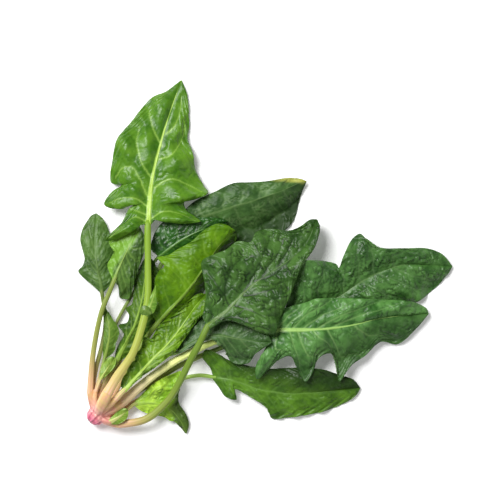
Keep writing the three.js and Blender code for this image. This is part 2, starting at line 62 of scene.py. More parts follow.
# the real sheet, in mm
sheetRules = {
    "thick": 0.5,
    "rowsPerSpan": 17,
    "columnsPerHalf": 52,
    "crowding": 1.35,  # columns stand closer near the rib
    "easeAcross": 10,  # passes that even out how the leaf hangs over the pile
    "easeAlong": 8,
    "endRoom": 8,  # ruffles are full an eighth of the length from foot and tip
    "ruffleDrift": 17,
    "fineRuffle": 13.1,
    "calm": 5,  # the relief sets in over this distance from the rib
    "quilt": 6.0,
    "groove": 1.5,
    "twig": 0.5,
    "edgeThin": 0.5,
    "veinKeel": 0.25,  # veins stand out below
    "floorGap": 0.02,
    "underColour": (0.16, 0.27, 0.1),
}

# side veins, as shares of the blade's length and of its half width
veinRules = {
    "steps": 80,
    "lobes": (0.05, 0.93),  # a lobe between these draws a vein
    "lastEnd": 0.97,
    "firstStart": 0.012,
    "lean": (0.93, 0.09),  # a vein leaves the rib lower than it ends
    "reach": 0.96,
    "curve": 1.3,
    "bend": 0.012,
    "halfWidth": 0.8,  # in mm
    "thinning": 0.5,
    "fullLength": 40,
}

# the real stalk
stalkRules = {
    "cutLength": 0.7,
    "sides": 60,
    "flutes": [(0.02, 5, 0), (0.018, 9, 1.5)],  # depth, number, twist
    "swells": [(0.03, 9), (0.02, 4)],  # height, length in mm
    "streaks": [(0.3, 7, 0), (0.2, 13, 3)],
    "groove": 0.12,
    "grooveAngle": 0.35,
    "blush": (2, 26),  # pale foot, from and to along the stalk
    "rampPlaces": (0.0, 0.13, 0.32, 0.6, 1.0),
}

crownLook = {
    "centre": (-5, -2, 8),
    "radii": (7.5, 7.5, 8.0),
    "flare": 0.25,
    "rootDirection": (-0.7, -0.7, 0.1),
    "rootCut": 8.5,
    "rootSquash": 0.9,
    "ridgeHeight": 0.3,
    "colourReach": 19,
    "voxel": 0.5,
    "rootColour": (0.3, 0.035, 0.06),
    "pinkColour": (0.76, 0.15, 0.28),
    "paleColour": (0.8, 0.44, 0.34),
    "footColour": (0.7, 0.48, 0.2),
}


def smoothLine(points, t):
    p = np.array([tuple(q) + (0,) * (3 - len(q)) for q in points], float)
    p = np.vstack([2 * p[0] - p[1], p, 2 * p[-1] - p[-2]])
    place = np.clip(np.atleast_1d(np.asarray(t, float)), 0, 1) * (len(p) - 3)
    first = np.minimum(np.floor(place).astype(int), len(p) - 4)
    w = (place - first)[:, None]
    a, b, c, d = p[first], p[first + 1], p[first + 2], p[first + 3]
    startPull, endPull = 0.5 * (c - a), 0.5 * (d - b)
    return (b + startPull * w + (3 * (c - b) - 2 * startPull - endPull) * w ** 2
            + (2 * (b - c) + startPull + endPull) * w ** 3)


def spread(values, t):
    return np.interp(t, np.linspace(0, 1, len(values)), values)


def smoothStep(low, high, x):
    w = np.clip((x - low) / (high - low), 0, 1)
    return w * w * (3 - 2 * w)


def unit(v):
    return v / np.maximum(np.linalg.norm(v, axis=-1, keepdims=True), 1e-9)


def sideOf(direction):
    return unit(np.array([-direction[1], direction[0], 0.0]))


def lengthOf(line):
    return np.linalg.norm(np.diff(line, axis=0), axis=1).sum()


def stalkStations(leaf):
    if not leaf["stalk"]:
        return []
    line = leaf["stalk"] + leaf["rib"][:2]
    reach = len(leaf["stalk"]) / (len(leaf["stalk"]) + 1)
    length = lengthOf(np.array(leaf["stalk"] + leaf["rib"][:1], float))
    count = max(2, int(length / pileRules["stalkStep"] + 0.5))
    stations = []
    for i in range(count):
        share = i / count
        half = (leaf["width"][0] + (leaf["width"][1] - leaf["width"][0]) * math.sqrt(share)) / 2
        at = share * reach
        point = smoothLine(line, at)[0]
        point[2] = max(point[2], half)
        ends = smoothLine(line, [max(at - 0.0001, 0), min(at + 0.0001, 1)])
        stations.append({"point": point, "half": half, "side": sideOf(ends[1] - ends[0])})
    return stations


# margins as lists of points from the foot of the blade to its tip
def marginsOf(leaf):
    foot = np.array(leaf["rib"][0], float)
    side = sideOf(np.array(leaf["rib"][1], float) - foot) * leaf["width"][1] / 2
    tip = leaf["rib"][-1][:2]
    return [
        ([tuple((foot + side)[:2])] + leaf["left"] + [tip], leaf["leftTilt"], -1),
        ([tuple((foot - side)[:2])] + leaf["right"] + [tip], leaf["rightTilt"], 1),
    ]


# middle surface over rows t and shares s of each half, columns from the left margin to the right one
def bladeSurface(leaf, t, shares, ridge):
    centre = smoothLine(leaf["rib"], t)
    halves = []
    for outline, tilt, sign in marginsOf(leaf):
        reach = smoothLine(outline, t) - centre
        reach[:, 2] = 0
        width = np.linalg.norm(reach, axis=1)
        size = width / pileRules["halfWidth"]
        fall = np.tan(np.radians(spread(tilt, t))) * width
        ripple = leaf["wave"] * size * np.sin(2 * np.pi * (leaf["ripples"] * t + 0.15 * sign + 0.3))
        s = np.array(shares)[None, :]
        bow = 4 * s * (1 - s)
        half = centre[:, None, :] + reach[:, None, :] * s[:, :, None]
        arch = (leaf["arch"] + ridge) * size
        lift = fall[:, None] * s + arch[:, None] * bow + ripple[:, None] * s ** 2
        half[:, :, 2] = np.maximum(centre[:, 2][:, None] + lift, pileRules["bladeThick"] / 2)
        halves.append(half)
    return np.concatenate([halves[0][:, :0:-1], halves[1]], axis=1)


pileSize = [math.ceil((pileRules["high"][k] - pileRules["low"][k]) / pileRules["cell"]) for k in (0, 1)]
pileTop = np.zeros((pileSize[1], pileSize[0]))


# cells of the pile under a triangle, with the share of each corner
def cellsUnder(a, b, c):
    area = (b[0] - a[0]) * (c[1] - a[1]) - (c[0] - a[0]) * (b[1] - a[1])
    if abs(area) < 1e-6:
        return None
    cell, low = pileRules["cell"], pileRules["low"]
    spans = []
    for k in (0, 1):
        first, last = [math.floor((f(a[k], b[k], c[k]) - low[k]) / cell) for f in (min, max)]
        spans.append(np.arange(first, last + 1))
    column, row = [g.ravel() for g in np.meshgrid(*spans)]
    px = low[0] + (column + 0.5) * cell
    py = low[1] + (row + 0.5) * cell
    shareB = ((px - a[0]) * (c[1] - a[1]) - (c[0] - a[0]) * (py - a[1])) / area
    shareC = ((b[0] - a[0]) * (py - a[1]) - (px - a[0]) * (b[1] - a[1])) / area
    shares = np.stack([1 - shareB - shareC, shareB, shareC], axis=1)
    inside = shares.min(axis=1) > -0.05
    return row[inside], column[inside], shares[inside]


# lifts a leaf onto the pile and gives the lift of every station and row
def layOnPile(stations, rows):
    columns = rows.shape[1]
    across = 1 - 2 * np.arange(columns) / (columns - 1)
    wide = [s["point"][None, :] + s["side"][None, :] * (s["half"] * across)[:, None] for s in stations]
    grid = np.concatenate([np.array(wide).reshape(-1, columns, 3), rows], axis=0)
    count = len(stations)
    thick = np.array([s["half"] * pileRules["flatness"] for s in stations]
                     + [pileRules["bladeThick"] / 2] * len(rows))
    around = np.zeros_like(pileTop)
    for dy in (-1, 0, 1):
        for dx in (-1, 0, 1):
            around = np.maximum(around, np.roll(np.roll(pileTop, dy, axis=0), dx, axis=1))
    need = np.zeros(grid.shape[:2])
    triangles = []
    for i in range(grid.shape[0] - 1):
        for j in range(columns - 1):
            triangles.append(((i, j), (i + 1, j), (i + 1, j + 1)))
            triangles.append(((i, j), (i + 1, j + 1), (i, j + 1)))
    for corners in triangles:
        found = cellsUnder(*[grid[c] for c in corners])
        if found is None or not len(found[0]):
            continue
        below = around[found[0], found[1]]
        low = found[2] @ np.array([grid[c][2] - thick[c[0]] for c in corners])
        gap = pileRules["stalkGap"] if corners[0][0] < count else pileRules["bladeGap"]
        missing = np.where(below > 0, below + gap - low, 0).max()
        for c in corners:
            need[c] = max(need[c], missing)
    need[:count] = need[:count].max(axis=1, keepdims=True)
    lift = need.copy()
    for _ in range(pileRules["passes"]):
        tall = np.pad(lift, ((1, 1), (0, 0)), mode="edge")
        broad = np.pad(lift, ((0, 0), (1, 1)), mode="edge")
        eased = 0.3 * lift + 0.25 * (tall[:-2] + tall[2:]) + 0.1 * (broad[:, :-2] + broad[:, 2:])
        lift = np.maximum(need, eased)
        lift[:count] = lift[:count].max(axis=1, keepdims=True)
    grid[:, :, 2] += lift
    for corners in triangles:
        found = cellsUnder(*[grid[c] for c in corners])
        if found is None or not len(found[0]):
            continue
        top = found[2] @ np.array([grid[c][2] + thick[c[0]] for c in corners])
        np.maximum.at(pileTop, (found[0], found[1]), top)
    for i, station in enumerate(stations):
        station["point"][2] += lift[i, 0]
    return lift[count:]


def blur(values, passes, axis):
    for _ in range(passes):
        pad = [(0, 0), (0, 0)]
        pad[axis] = (1, 1)
        wide = np.pad(values, pad, mode="edge")
        before = wide[:-2] if axis == 0 else wide[:, :-2]
        after = wide[2:] if axis == 0 else wide[:, 2:]
        values = 0.5 * values + 0.25 * (before + after)
    return values


# side veins, drawn in the leaf's own list or led to the lobes, as points and half widths
def veinsOf(leaf, surface, dice):
    rows, columns = surface.shape[:2]
    middle = columns // 2
    flat = surface.reshape(-1, 3)
    low, high = veinRules["lobes"]
    share, drop = veinRules["lean"]
    lines = []
    for drawn in leaf.get("veins", []):
        line = smoothLine(drawn, np.linspace(0, 1, veinRules["steps"]))
        nearest = [np.argmin(((flat[:, :2] - q[:2]) ** 2).sum(axis=1)) for q in line]
        lines.append(flat[nearest])
    for sign in () if lines else (-1, 1):
        edge = surface[:, 0 if sign < 0 else -1]
        width = np.linalg.norm(edge - surface[:, middle], axis=1)
        near = max(3, rows // 30)
        ends = [i / (rows - 1) for i in range(2, rows - 2)
                if width[i] >= width[max(0, i - near):i + near + 1].max() and low < i / rows < high]
        filled = []
        for a, b in zip([0.0] + ends, ends + [veinRules["lastEnd"]]):
            parts = max(1, round((b - a) / leaf["look"]["veinStep"]))
            filled += [a + (b - a) * (k + dice.uniform(-0.2, 0.2)) / parts for k in range(1, parts)]
        for end in sorted(ends + filled):
            start = max(veinRules["firstStart"], end * share - drop * dice.uniform(0.5, 1.4))
            s = np.linspace(0, veinRules["reach"], veinRules["steps"])
            bend = veinRules["bend"] * s * np.sin(s * dice.uniform(8, 16) + dice.uniform(0, 6))
            i = np.clip(start + (end - start) * s ** veinRules["curve"] + bend, 0, 1) * (rows - 1)
            j = middle + sign * s ** (1 / sheetRules["crowding"]) * middle
            lines.append(surface[np.round(i).astype(int), np.round(j).astype(int)])
    points, widths = [], []
    for line in lines:
        points.append(line)
        thin = veinRules["halfWidth"] - veinRules["thinning"] * np.linspace(0, 1, len(line))
        size = min(1, 0.45 + lengthOf(line) / veinRules["fullLength"])
        widths.append(thin * size * leaf["look"]["veinWide"])
    return np.concatenate(points), np.concatenate(widths)


# distance of every point to the nearest side vein, and the half width of that vein
def nearestVein(points, veins, widths):
    distance, width = [], []
    batch = 2000
    for k in range(0, len(points), batch):
        gaps = np.linalg.norm(points[k:k + batch, None, :] - veins[None, :, :], axis=2)
        distance.append(gaps.min(axis=1))
        width.append(widths[gaps.argmin(axis=1)])
    return np.concatenate(distance), np.concatenate(width)


# run along the rib beside every point, and the distance from it, with the rib made longer at both ends
def besideRib(surface, ribLine):
    line = ribLine[::3, :2]
    back = line[0] + unit(line[0] - line[1]) * np.arange(60, 0, -2)[:, None]
    ahead = line[-1] + unit(line[-1] - line[-2]) * np.arange(2, 30, 2)[:, None]
    line = np.concatenate([back, line, ahead])
    run = np.concatenate([[0], np.cumsum(np.linalg.norm(np.diff(line, axis=0), axis=1))])
    flat = surface[:, :, :2].reshape(-1, 2)
    gaps = np.linalg.norm(flat[:, None, :] - line[None, :, :], axis=2)
    shape = surface.shape[:2]
    return run[gaps.argmin(axis=1)].reshape(shape), gaps.min(axis=1).reshape(shape)


# fine veins are the borders of uneven cells: distance to the border, and a number from 0 to 1 for each cell
def cellNet(along, across, cell, dice):
    patch = 64
    jitter = dice.uniform(0.1, 0.9, (patch, patch, 2))
    here = np.stack([along, across], axis=-1) / cell
    home = np.floor(here).astype(int)
    gaps, middles, numbers = [], [], []
    for dx in range(-2, 3):
        for dy in range(-2, 3):
            spot = home + (dx, dy)
            shake = jitter[spot[..., 0] % patch, spot[..., 1] % patch]
            middles.append(spot + shake)
            numbers.append((shake[..., 0] * 7.3 + shake[..., 1] * 3.1) % 1)
            gaps.append(np.linalg.norm(spot + shake - here, axis=-1))
    gaps, middles, numbers = np.array(gaps), np.array(middles), np.array(numbers)
    order = np.argsort(gaps, axis=0)[:2]
    near, far = np.take_along_axis(gaps, order, axis=0)
    first, second = np.take_along_axis(middles, order[..., None], axis=0)
    border = (far ** 2 - near ** 2) / (2 * np.linalg.norm(second - first, axis=-1)) * cell
    return border, np.take_along_axis(numbers, order[:1], axis=0)[0]


# slow waves over the plan, between about -1 and 1
def wobble(points, length, dice):
    total = np.zeros(points.shape[:-1])
    for _ in range(6):
        turn, phase = dice.uniform(0, fullTurn), dice.uniform(0, fullTurn)
        stretch = dice.uniform(0.75, 1.35)
        along = points[..., 0] * math.cos(turn) + points[..., 1] * math.sin(turn)
        total += np.sin(along * fullTurn / (length * stretch) + phase)
    return total / 2.6


def pointsOf(piece):
    raw = np.zeros(len(piece.data.vertices) * 3)
    piece.data.vertices.foreach_get("co", raw)
    return raw.reshape(-1, 3)


def setMesh(piece, points, fields):
    mesh = piece.data
    mesh.vertices.foreach_set("co", (np.asarray(points) * mm).ravel())
    for name, values in fields.items():
        data = mesh.attributes.new(name=name, type="FLOAT", domain="POINT")
        data.data.foreach_set("value", np.asarray(values, dtype=np.float32).ravel())
    mesh.update()


def shapeWith(piece, kind, **settings):
    modifier = piece.modifiers.new(kind.lower(), kind)
    for name, value in settings.items():
        setattr(modifier, name, value)
    bpy.ops.object.modifier_apply(modifier=modifier.name)


def finishPiece(piece, node):
    bpy.ops.object.select_all(action="DESELECT")
    piece.select_set(True)
    bpy.context.view_layer.objects.active = piece
    bpy.ops.object.mode_set(mode="EDIT")
    bpy.ops.mesh.select_all(action="SELECT")
    bpy.ops.mesh.remove_doubles(threshold=0.001 * mm)
    bpy.ops.mesh.select_all(action="DESELECT")
    bpy.ops.object.mode_set(mode="OBJECT")
    bpy.ops.object.shade_smooth()
    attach(piece, "root")
    if node:
        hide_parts(node)


def addNode(tree, kind, **inputs):
    node = tree.nodes.new(kind)
    for name, value in inputs.items():
        node.inputs[name.replace("_", " ")].default_value = value
    return node


def colourMix(tree, factor, below, above):
    node = tree.nodes.new("ShaderNodeMix")
    node.data_type = "RGBA"
    for socket, value in ((node.inputs[0], factor), (node.inputs[6], below), (node.inputs[7], above)):
        if isinstance(value, bpy.types.NodeSocket):
            tree.links.new(value, socket)
        elif isinstance(value, tuple):
            socket.default_value = value + (1,)
        else:
            socket.default_value = value
    return node.outputs[2]


def scaled(tree, source, amount):
    node = tree.nodes.new("ShaderNodeMath")
    node.operation = "MULTIPLY"
    node.use_clamp = True
    tree.links.new(source, node.inputs[0])
    node.inputs[1].default_value = amount
    return node.outputs[0]


def field(tree, name):
    node = tree.nodes.new("ShaderNodeAttribute")
    node.attribute_name = name
    return node.outputs["Fac"]


def noise(tree, scale, detail):
    place = tree.nodes.new("ShaderNodeTexCoord")
    node = addNode(tree, "ShaderNodeTexNoise", Scale=scale, Detail=detail, Roughness=0.55)
    tree.links.new(place.outputs["Object"], node.inputs["Vector"])
    return node.outputs["Fac"]


def sharpened(tree, source, low, high):
    node = addNode(tree, "ShaderNodeMapRange", From_Min=low, From_Max=high)
    node.interpolation_type = "SMOOTHSTEP"
    tree.links.new(source, node.inputs["Value"])
    return node.outputs["Result"]


def colourRamp(tree, source, stops):
    ramp = tree.nodes.new("ShaderNodeValToRGB")
    elements = ramp.color_ramp.elements
    while len(elements) < len(stops):
        elements.new(0.5)
    for element, (place, colour) in zip(elements, stops):
        element.position = place
        element.color = colour + (1,)
    tree.links.new(source, ramp.inputs["Fac"])
    return ramp.outputs["Color"]


def newMaterial(name, roughness, gloss=0.4, coat=0.0):
    material = bpy.data.materials.new(name)
    material.use_nodes = True
    shader = material.node_tree.nodes["Principled BSDF"]
    shader.inputs["Roughness"].default_value = roughness
    shader.inputs["Specular IOR Level"].default_value = gloss
    shader.inputs["Coat Weight"].default_value = coat
    shader.inputs["Coat Roughness"].default_value = 0.18
    return material, material.node_tree, shader


def fineGrain(tree, shader, scale, strength):
    bump = addNode(tree, "ShaderNodeBump", Strength=strength, Distance=0.4 * mm)
    tree.links.new(noise(tree, scale, 3), bump.inputs["Height"])
    tree.links.new(bump.outputs["Normal"], shader.inputs["Normal"])


def bladeMaterial(leaf, underside):
    look = leaf["look"]

    def shade(colour):
        if not underside:
            return colour
        return tuple(0.55 * c + 0.45 * p for c, p in zip(colour, sheetRules["underColour"]))

    label = leaf["name"] + ("Underside" if underside else "Skin")
    material, tree, shader = newMaterial(label, look["rough"] + 0.12 * underside, look["gloss"])
    patches = sharpened(tree, noise(tree, 75, 5), 0.34, 0.66)
    colour = colourMix(tree, patches, shade(look["deep"]), shade(look["fresh"]))
    # painted shade: cell tops lighter and the grooves between them darker; fine veins drawn dark in their
    # sunken lines on most leaves
    layers = [("paintedReliefShade", "paintedReliefShade", "fresh"), ("net", "net", "fineVeinShadeAndTone"), ("vein", "veinAmount", "vein")]
    for name, amount, shown in layers:
        strength = scaled(tree, field(tree, name), look[amount])
        colour = colourMix(tree, strength, colour, shade(look[shown]))
    colour = colourMix(tree, field(tree, "tint"), colour, look["tint"])
    # painted shade: a band of the blade darkened, on steep halves turned from the light and where a
    # neighbour casts its shadow
    colour = colourMix(tree, field(tree, "paintedShade"), colour, shade(look["paintedShadeColour"]))
    colour = colourMix(tree, field(tree, "rib"), colour, look["ribColour"])
    tree.links.new(colour, shader.inputs["Base Color"])
    fineGrain(tree, shader, 700, 0.25)
    return material


def stalkMaterial(leaf):
    stem = leaf["look"]["stem"]
    material, tree, shader = newMaterial(leaf["name"] + "StalkSkin", 0.5)
    stops = list(zip(stalkRules["rampPlaces"], [crownLook["footColour"]] + stem))
    colour = colourRamp(tree, field(tree, "along"), stops)
    colour = colourMix(tree, scaled(tree, field(tree, "streak"), 0.18), colour, stem[-1])
    colour = colourMix(tree, field(tree, "blush"), colour, crownLook["paleColour"])
    tree.links.new(colour, shader.inputs["Base Color"])
    fineGrain(tree, shader, 500, 0.2)
    return material


def buildBlade(leaf, lift, dice):
    look = leaf["look"]
    rowCount = (len(leaf["left"]) + 1) * sheetRules["rowsPerSpan"] + 1
    half = sheetRules["columnsPerHalf"]
    t = np.linspace(0, 1, rowCount)
    shares = np.linspace(0, 1, half + 1) ** sheetRules["crowding"]
    surface = bladeSurface(leaf, t, shares, np.zeros(rowCount))
    columns = surface.shape[1]
    s = np.concatenate([-shares[:0:-1], shares])
    knots = np.array([-c for c in pileRules["columns"][:0:-1]] + pileRules["columns"])
    lifted = np.stack([smoothLine([(v,) for v in column], t)[:, 0] for column in lift.T], axis=1)
    fine = np.stack([np.interp(s, knots, row) for row in lifted])
    surface[:, :, 2] += blur(blur(fine, sheetRules["easeAcross"], 1), sheetRules["easeAlong"], 0)

    # slow swellings and ruffled margins, none of it at the foot and the tip
    share = np.abs(s)[None, :]
    room = np.clip(np.minimum(t, 1 - t) * sheetRules["endRoom"], 0, 1)[:, None]
    steps = np.concatenate([np.zeros((1, columns, 3)), np.diff(surface, axis=0)], axis=0)
    run = np.cumsum(np.linalg.norm(steps, axis=2), axis=0)
    phase = dice.uniform(0, fullTurn, 3)
    drift = phase[0] + 2 * np.sin(run / sheetRules["ruffleDrift"] + phase[1])
    ruffle = (np.sin(run / look["ruffleLength"] * fullTurn + drift)
              + 0.5 * np.sin(run / look["ruffleLength"] * sheetRules["fineRuffle"] + phase[2]))
    surface[:, :, 2] += look["ruffle"] * ruffle * share ** 4 * room
    surface[:, :, 2] += look["swell"] * wobble(surface, look["swellLength"], dice) * np.sqrt(share) * room
    surface[:, :, 2] = np.maximum(surface[:, :, 2], sheetRules["thick"] / 2 + 0.05)
    surface[-1] = surface[-1, half]  # one point at the tip

    # the rib starts as wide as the stalk and thins out along its length
    ribLine = surface[:, half]
    toRib = np.linalg.norm(surface - ribLine[:, None, :], axis=2)
    ribRun = np.concatenate([[0], np.cumsum(np.linalg.norm(np.diff(ribLine, axis=0), axis=1))])
    left = 1 - ribRun / ribRun[-1]
    ribShare = toRib / (leaf["width"][1] / 2 * left ** look["ribFade"] + 0.2)[:, None]
    ribTall = leaf["width"][1] / 2 * pileRules["flatness"] * left ** (look["ribFade"] + 0.3)
    ribBow = np.sqrt(np.maximum(1 - ribShare ** 2, 0)) * ribTall[:, None]
    rib = 1 - smoothStep(0.65, 1.15, ribShare)

    # side veins sink in, fine veins between them make a net of long uneven cells
    shape = surface.shape[:2]
    toMain, mainWidth = nearestVein(surface.reshape(-1, 3), *veinsOf(leaf, surface, dice))
    toMain, mainWidth = toMain.reshape(shape), mainWidth.reshape(shape)
    vein = np.exp(-(toMain / mainWidth) ** 2)
    place, off = besideRib(surface, ribLine)
    along = place - 0.6 * off + 1.5 * wobble(surface, 9, dice)
    across = np.sign(s)[None, :] * (0.7 * off + 20) + 1.2 * wobble(surface, 8, dice)
    border, number = cellNet(along, across, look["cell"], dice)
    clear = smoothStep(-0.9, 0.5, wobble(surface, 15, dice))
    twig = np.exp(-(border / sheetRules["twig"]) ** 2) * clear
    quilt = 1 - np.exp(-(toMain / sheetRules["quilt"]) ** 2)
    pillow = 1 - np.exp(-(np.minimum(border, toMain) / sheetRules["groove"]) ** 2)
    pillow = pillow * (0.45 + 0.55 * number) * (0.35 + 0.65 * clear)
    crinkle = wobble(surface, 4.5, dice) + 0.6 * wobble(surface, 2.8, dice)

    calm = np.clip(toRib / sheetRules["calm"], 0, 1) * (1 - share ** 10)
    normal = unit(np.cross(np.gradient(surface, axis=1), np.gradient(surface, axis=0)))
    normal[-1] = (0, 0, 1)
    steep = normal[:, :, 2] < 0.2
    normal[steep] = unit(normal[steep] + np.array([0, 0, 0.4]))
    relief = look["quilt"] * (quilt - 0.5) + look["pucker"] * (pillow - 0.4) + look["crinkle"] * crinkle
    surface = surface + normal * (relief * calm)[:, :, None]
    bodyHalf = sheetRules["thick"] / 2 * (1 - sheetRules["edgeThin"] * share ** 6)
    top = surface + normal * (bodyHalf + ribBow * look["ribUp"])[:, :, None]
    keel = ribBow * 0.9 + sheetRules["veinKeel"] * vein * calm
    bottom = surface - normal * (bodyHalf + keel)[:, :, None]
    bottom[:, :, 2] = np.maximum(bottom[:, :, 2], sheetRules["floorGap"])
    top[:, :, 2] = np.maximum(top[:, :, 2], bottom[:, :, 2] + 0.2)
    top[-1], bottom[-1] = top[-1, half].copy(), bottom[-1, half].copy()

    bpy.ops.object.select_all(action="DESELECT")
    bpy.ops.mesh.primitive_grid_add(x_subdivisions=columns - 1, y_subdivisions=rowCount - 1, size=0.1)
    piece = bpy.context.object
    piece.name = leaf["name"] + "Leaf"
    piece.data.materials.append(bladeMaterial(leaf, False))
    piece.data.materials.append(bladeMaterial(leaf, True))
    shapeWith(piece, "SOLIDIFY", thickness=mm, offset=-1, material_offset=1)
    fields = {
        # the relief mask paints shade, lighter cell tops and darker grooves; the fine vein mask is drawn
        # dark on most leaves, painted shade in their sunken lines
        "vein": vein * (1 - 0.5 * share),
        "net": twig * calm,
        "paintedReliefShade": pillow,
        "rib": rib * look["ribShow"],
    }
    # the first band is the leaf's own tint; the second is painted shade over part of the blade
    for name in ("tint", "paintedShade"):
        start, end, amount, slope = look[name + "Band"]
        fields[name] = amount * smoothStep(start, end, t[:, None] + slope * s[None, :])
    points = np.concatenate([top.reshape(-1, 3), bottom.reshape(-1, 3)]) + shift
    setMesh(piece, points, {name: np.tile(values.ravel(), 2) for name, values in fields.items()})
    finishPiece(piece, leaf["node"] and leaf["node"] + "_blade")


# tube along stations, rings close enough to bend smoothly
# a cylinder cut across and led along a line, for stalks and for the stubs of the crown
def tubePiece(name, knots, halves, dice, grooved):
    length = lengthOf(np.array(knots))
    cuts = int(np.clip(length / stalkRules["cutLength"], 12, 180))
    bpy.ops.object.select_all(action="DESELECT")
    bpy.ops.mesh.primitive_cylinder_add(vertices=stalkRules["sides"], radius=1, depth=2)
    piece = bpy.context.object
    piece.name = name
    bpy.ops.object.mode_set(mode="EDIT")
    bpy.ops.mesh.select_mode(type="EDGE")
    bpy.ops.mesh.select_all(action="DESELECT")
    bpy.ops.object.mode_set(mode="OBJECT")
    for e in piece.data.edges:
        a, b = [piece.data.vertices[v].co.z for v in e.vertices]
        e.select = abs(a - b) > 1  # the long edges only
    bpy.ops.object.mode_set(mode="EDIT")
    bpy.ops.mesh.subdivide(number_cuts=cuts)
    bpy.ops.mesh.select_mode(type="VERT")
    bpy.ops.object.mode_set(mode="OBJECT")
    raw = pointsOf(piece)
    along = (raw[:, 2] + 1) / 2
    angle = np.arctan2(raw[:, 1], raw[:, 0])
    spine, ahead, behind = [smoothLine(knots, np.clip(along + step, 0, 1)) for step in (0, 0.004, -0.004)]
    heading = unit(ahead - behind)
    side = unit(np.stack([-heading[:, 1], heading[:, 0], 0 * along], axis=1))
    up = np.cross(heading, side)
    phase = dice.uniform(0, fullTurn, 6)
    flute, swell, streak = 1, 1, 0.5
    for k in (0, 1):
        depth, number, twist = stalkRules["flutes"][k]
        flute = flute + depth * np.sin(number * angle + phase[k] + twist * along)
        height, wave = stalkRules["swells"][k]
        swell = swell + height * np.sin(along * length / wave + phase[k + 2])
        share, number, twist = stalkRules["streaks"][k]
        streak = streak + share * np.sin(number * angle + phase[k + 4] + twist * along)
    groove = 1 - grooved * np.exp(-((angle + np.pi / 2) / stalkRules["grooveAngle"]) ** 2)
    reach = spread(halves, along) * flute * swell
    points = (spine + side * (reach * np.cos(angle))[:, None]
              + up * (reach * pileRules["flatness"] * groove * np.sin(angle))[:, None])
    points[:, 2] = np.maximum(points[:, 2], sheetRules["floorGap"])
    return piece, points, along, streak, length


def buildStalk(leaf, stations, foot, heading, dice):
    first, second = stations[0]["point"], stations[1]["point"]
    back = first - unit(second - first) * 2.5
    knots = [back] + [s["point"] for s in stations] + [foot - heading * 0.6, foot + heading * 3]
    end = leaf["width"][1] / 2
    halves = [stations[0]["half"]] + [s["half"] for s in stations] + [end, end * 0.7]
    name = leaf["name"] + "Stalk"
    piece, points, along, streak, length = tubePiece(name, knots, halves, dice, stalkRules["groove"])
    piece.data.materials.append(stalkMaterial(leaf))
    blush = (1 - smoothStep(*stalkRules["blush"], along * length)) * np.clip(1.3 * streak - 0.15, 0, 1)
    setMesh(piece, points + shift, {"along": along, "streak": streak, "blush": blush})
    finishPiece(piece, leaf["node"] + "_stalk")


shift = np.array([-crownLook["centre"][0], -crownLook["centre"][1], 0.0])
feet = []  # where each leaf leaves the crown: point, half width, direction
stalkLines = {}
leafCount = 0


def nextDice():
    global leafCount
    leafCount += 1
    return np.random.default_rng(seedOfPlant * 100 + leafCount)


def growLeaf(leaf):
    dice = nextDice()
    stations = stalkStations(leaf)
    spans = len(leaf["left"]) + 1
    ridge = np.where(np.arange(spans + 1) % 2 == 0, pileRules["ridge"], -pileRules["ridge"])
    t = np.arange(spans + 1) / spans
    rows = bladeSurface(leaf, t, pileRules["columns"], ridge)
    lift = layOnPile(stations, rows)
    middle = rows.shape[1] // 2
    foot, following = [rows[i, middle] + np.array([0, 0, lift[i, middle]]) for i in (0, 1)]
    heading = unit(following - foot)
    buildBlade(leaf, lift, dice)
    if stations:
        buildStalk(leaf, stations, foot, heading, dice)
        stalkLines[leaf["name"]] = np.array([s["point"] for s in stations])
        first, second = stations[0]["point"], stations[1]["point"]
        feet.append((first, stations[0]["half"], unit(second - first)))
    else:
        feet.append((foot, leaf["width"][1] / 2, heading))
    print("leaf grown:", leaf["name"])


# a small leaf that sits on a stalk, its heights counted from the middle of the stalk
def growWing(wing, stalkName):
    line = stalkLines[stalkName]
    ribPoints = []
    for x, y, z in wing["rib"]:
        order = np.argsort(np.hypot(line[:, 0] - x, line[:, 1] - y))
        ribPoints.append((x, y, z + line[order[:2], 2].mean()))
    wing["rib"] = ribPoints
    flat = np.zeros((len(wing["left"]) + 2, 2 * len(pileRules["columns"]) - 1))
    buildBlade(wing, flat, nextDice())
    print("wing grown:", wing["name"])


# what most leaves share, lengths in mm
plainLook = {
    # fine veins drawn dark: painted shade in their sunken lines
    "fineVeinShadeAndTone": (0.012, 0.035, 0.006),
    "tint": (0.1, 0.2, 0.03),
    "tintBand": (0, 1, 0, 0),  # from, to, amount, slope towards the right margin
    # painted shade: its colour and band, none unless a leaf sets it
    "paintedShadeColour": (0.01, 0.03, 0.004),
    "paintedShadeBand": (0, 1, 0, 0),
    # how much lighter the cell tops are painted than the grooves
    "paintedReliefShade": 0.5,
    "net": 0.25,
    "veinAmount": 0.5,
    "veinStep": 0.11,
    "veinWide": 1.0,
    "ribShow": 1.0,
    "ribFade": 1.3,
    "gloss": 0.4,
    "ribUp": 0.6,
    "quilt": 1.0,
    "pucker": 1.0,
    "cell": 6,
    "crinkle": 0.1,
    "swell": 0.6,
    "swellLength": 22,
    "ruffle": 0.6,
    "ruffleLength": 12,
    "rough": 0.4,
}

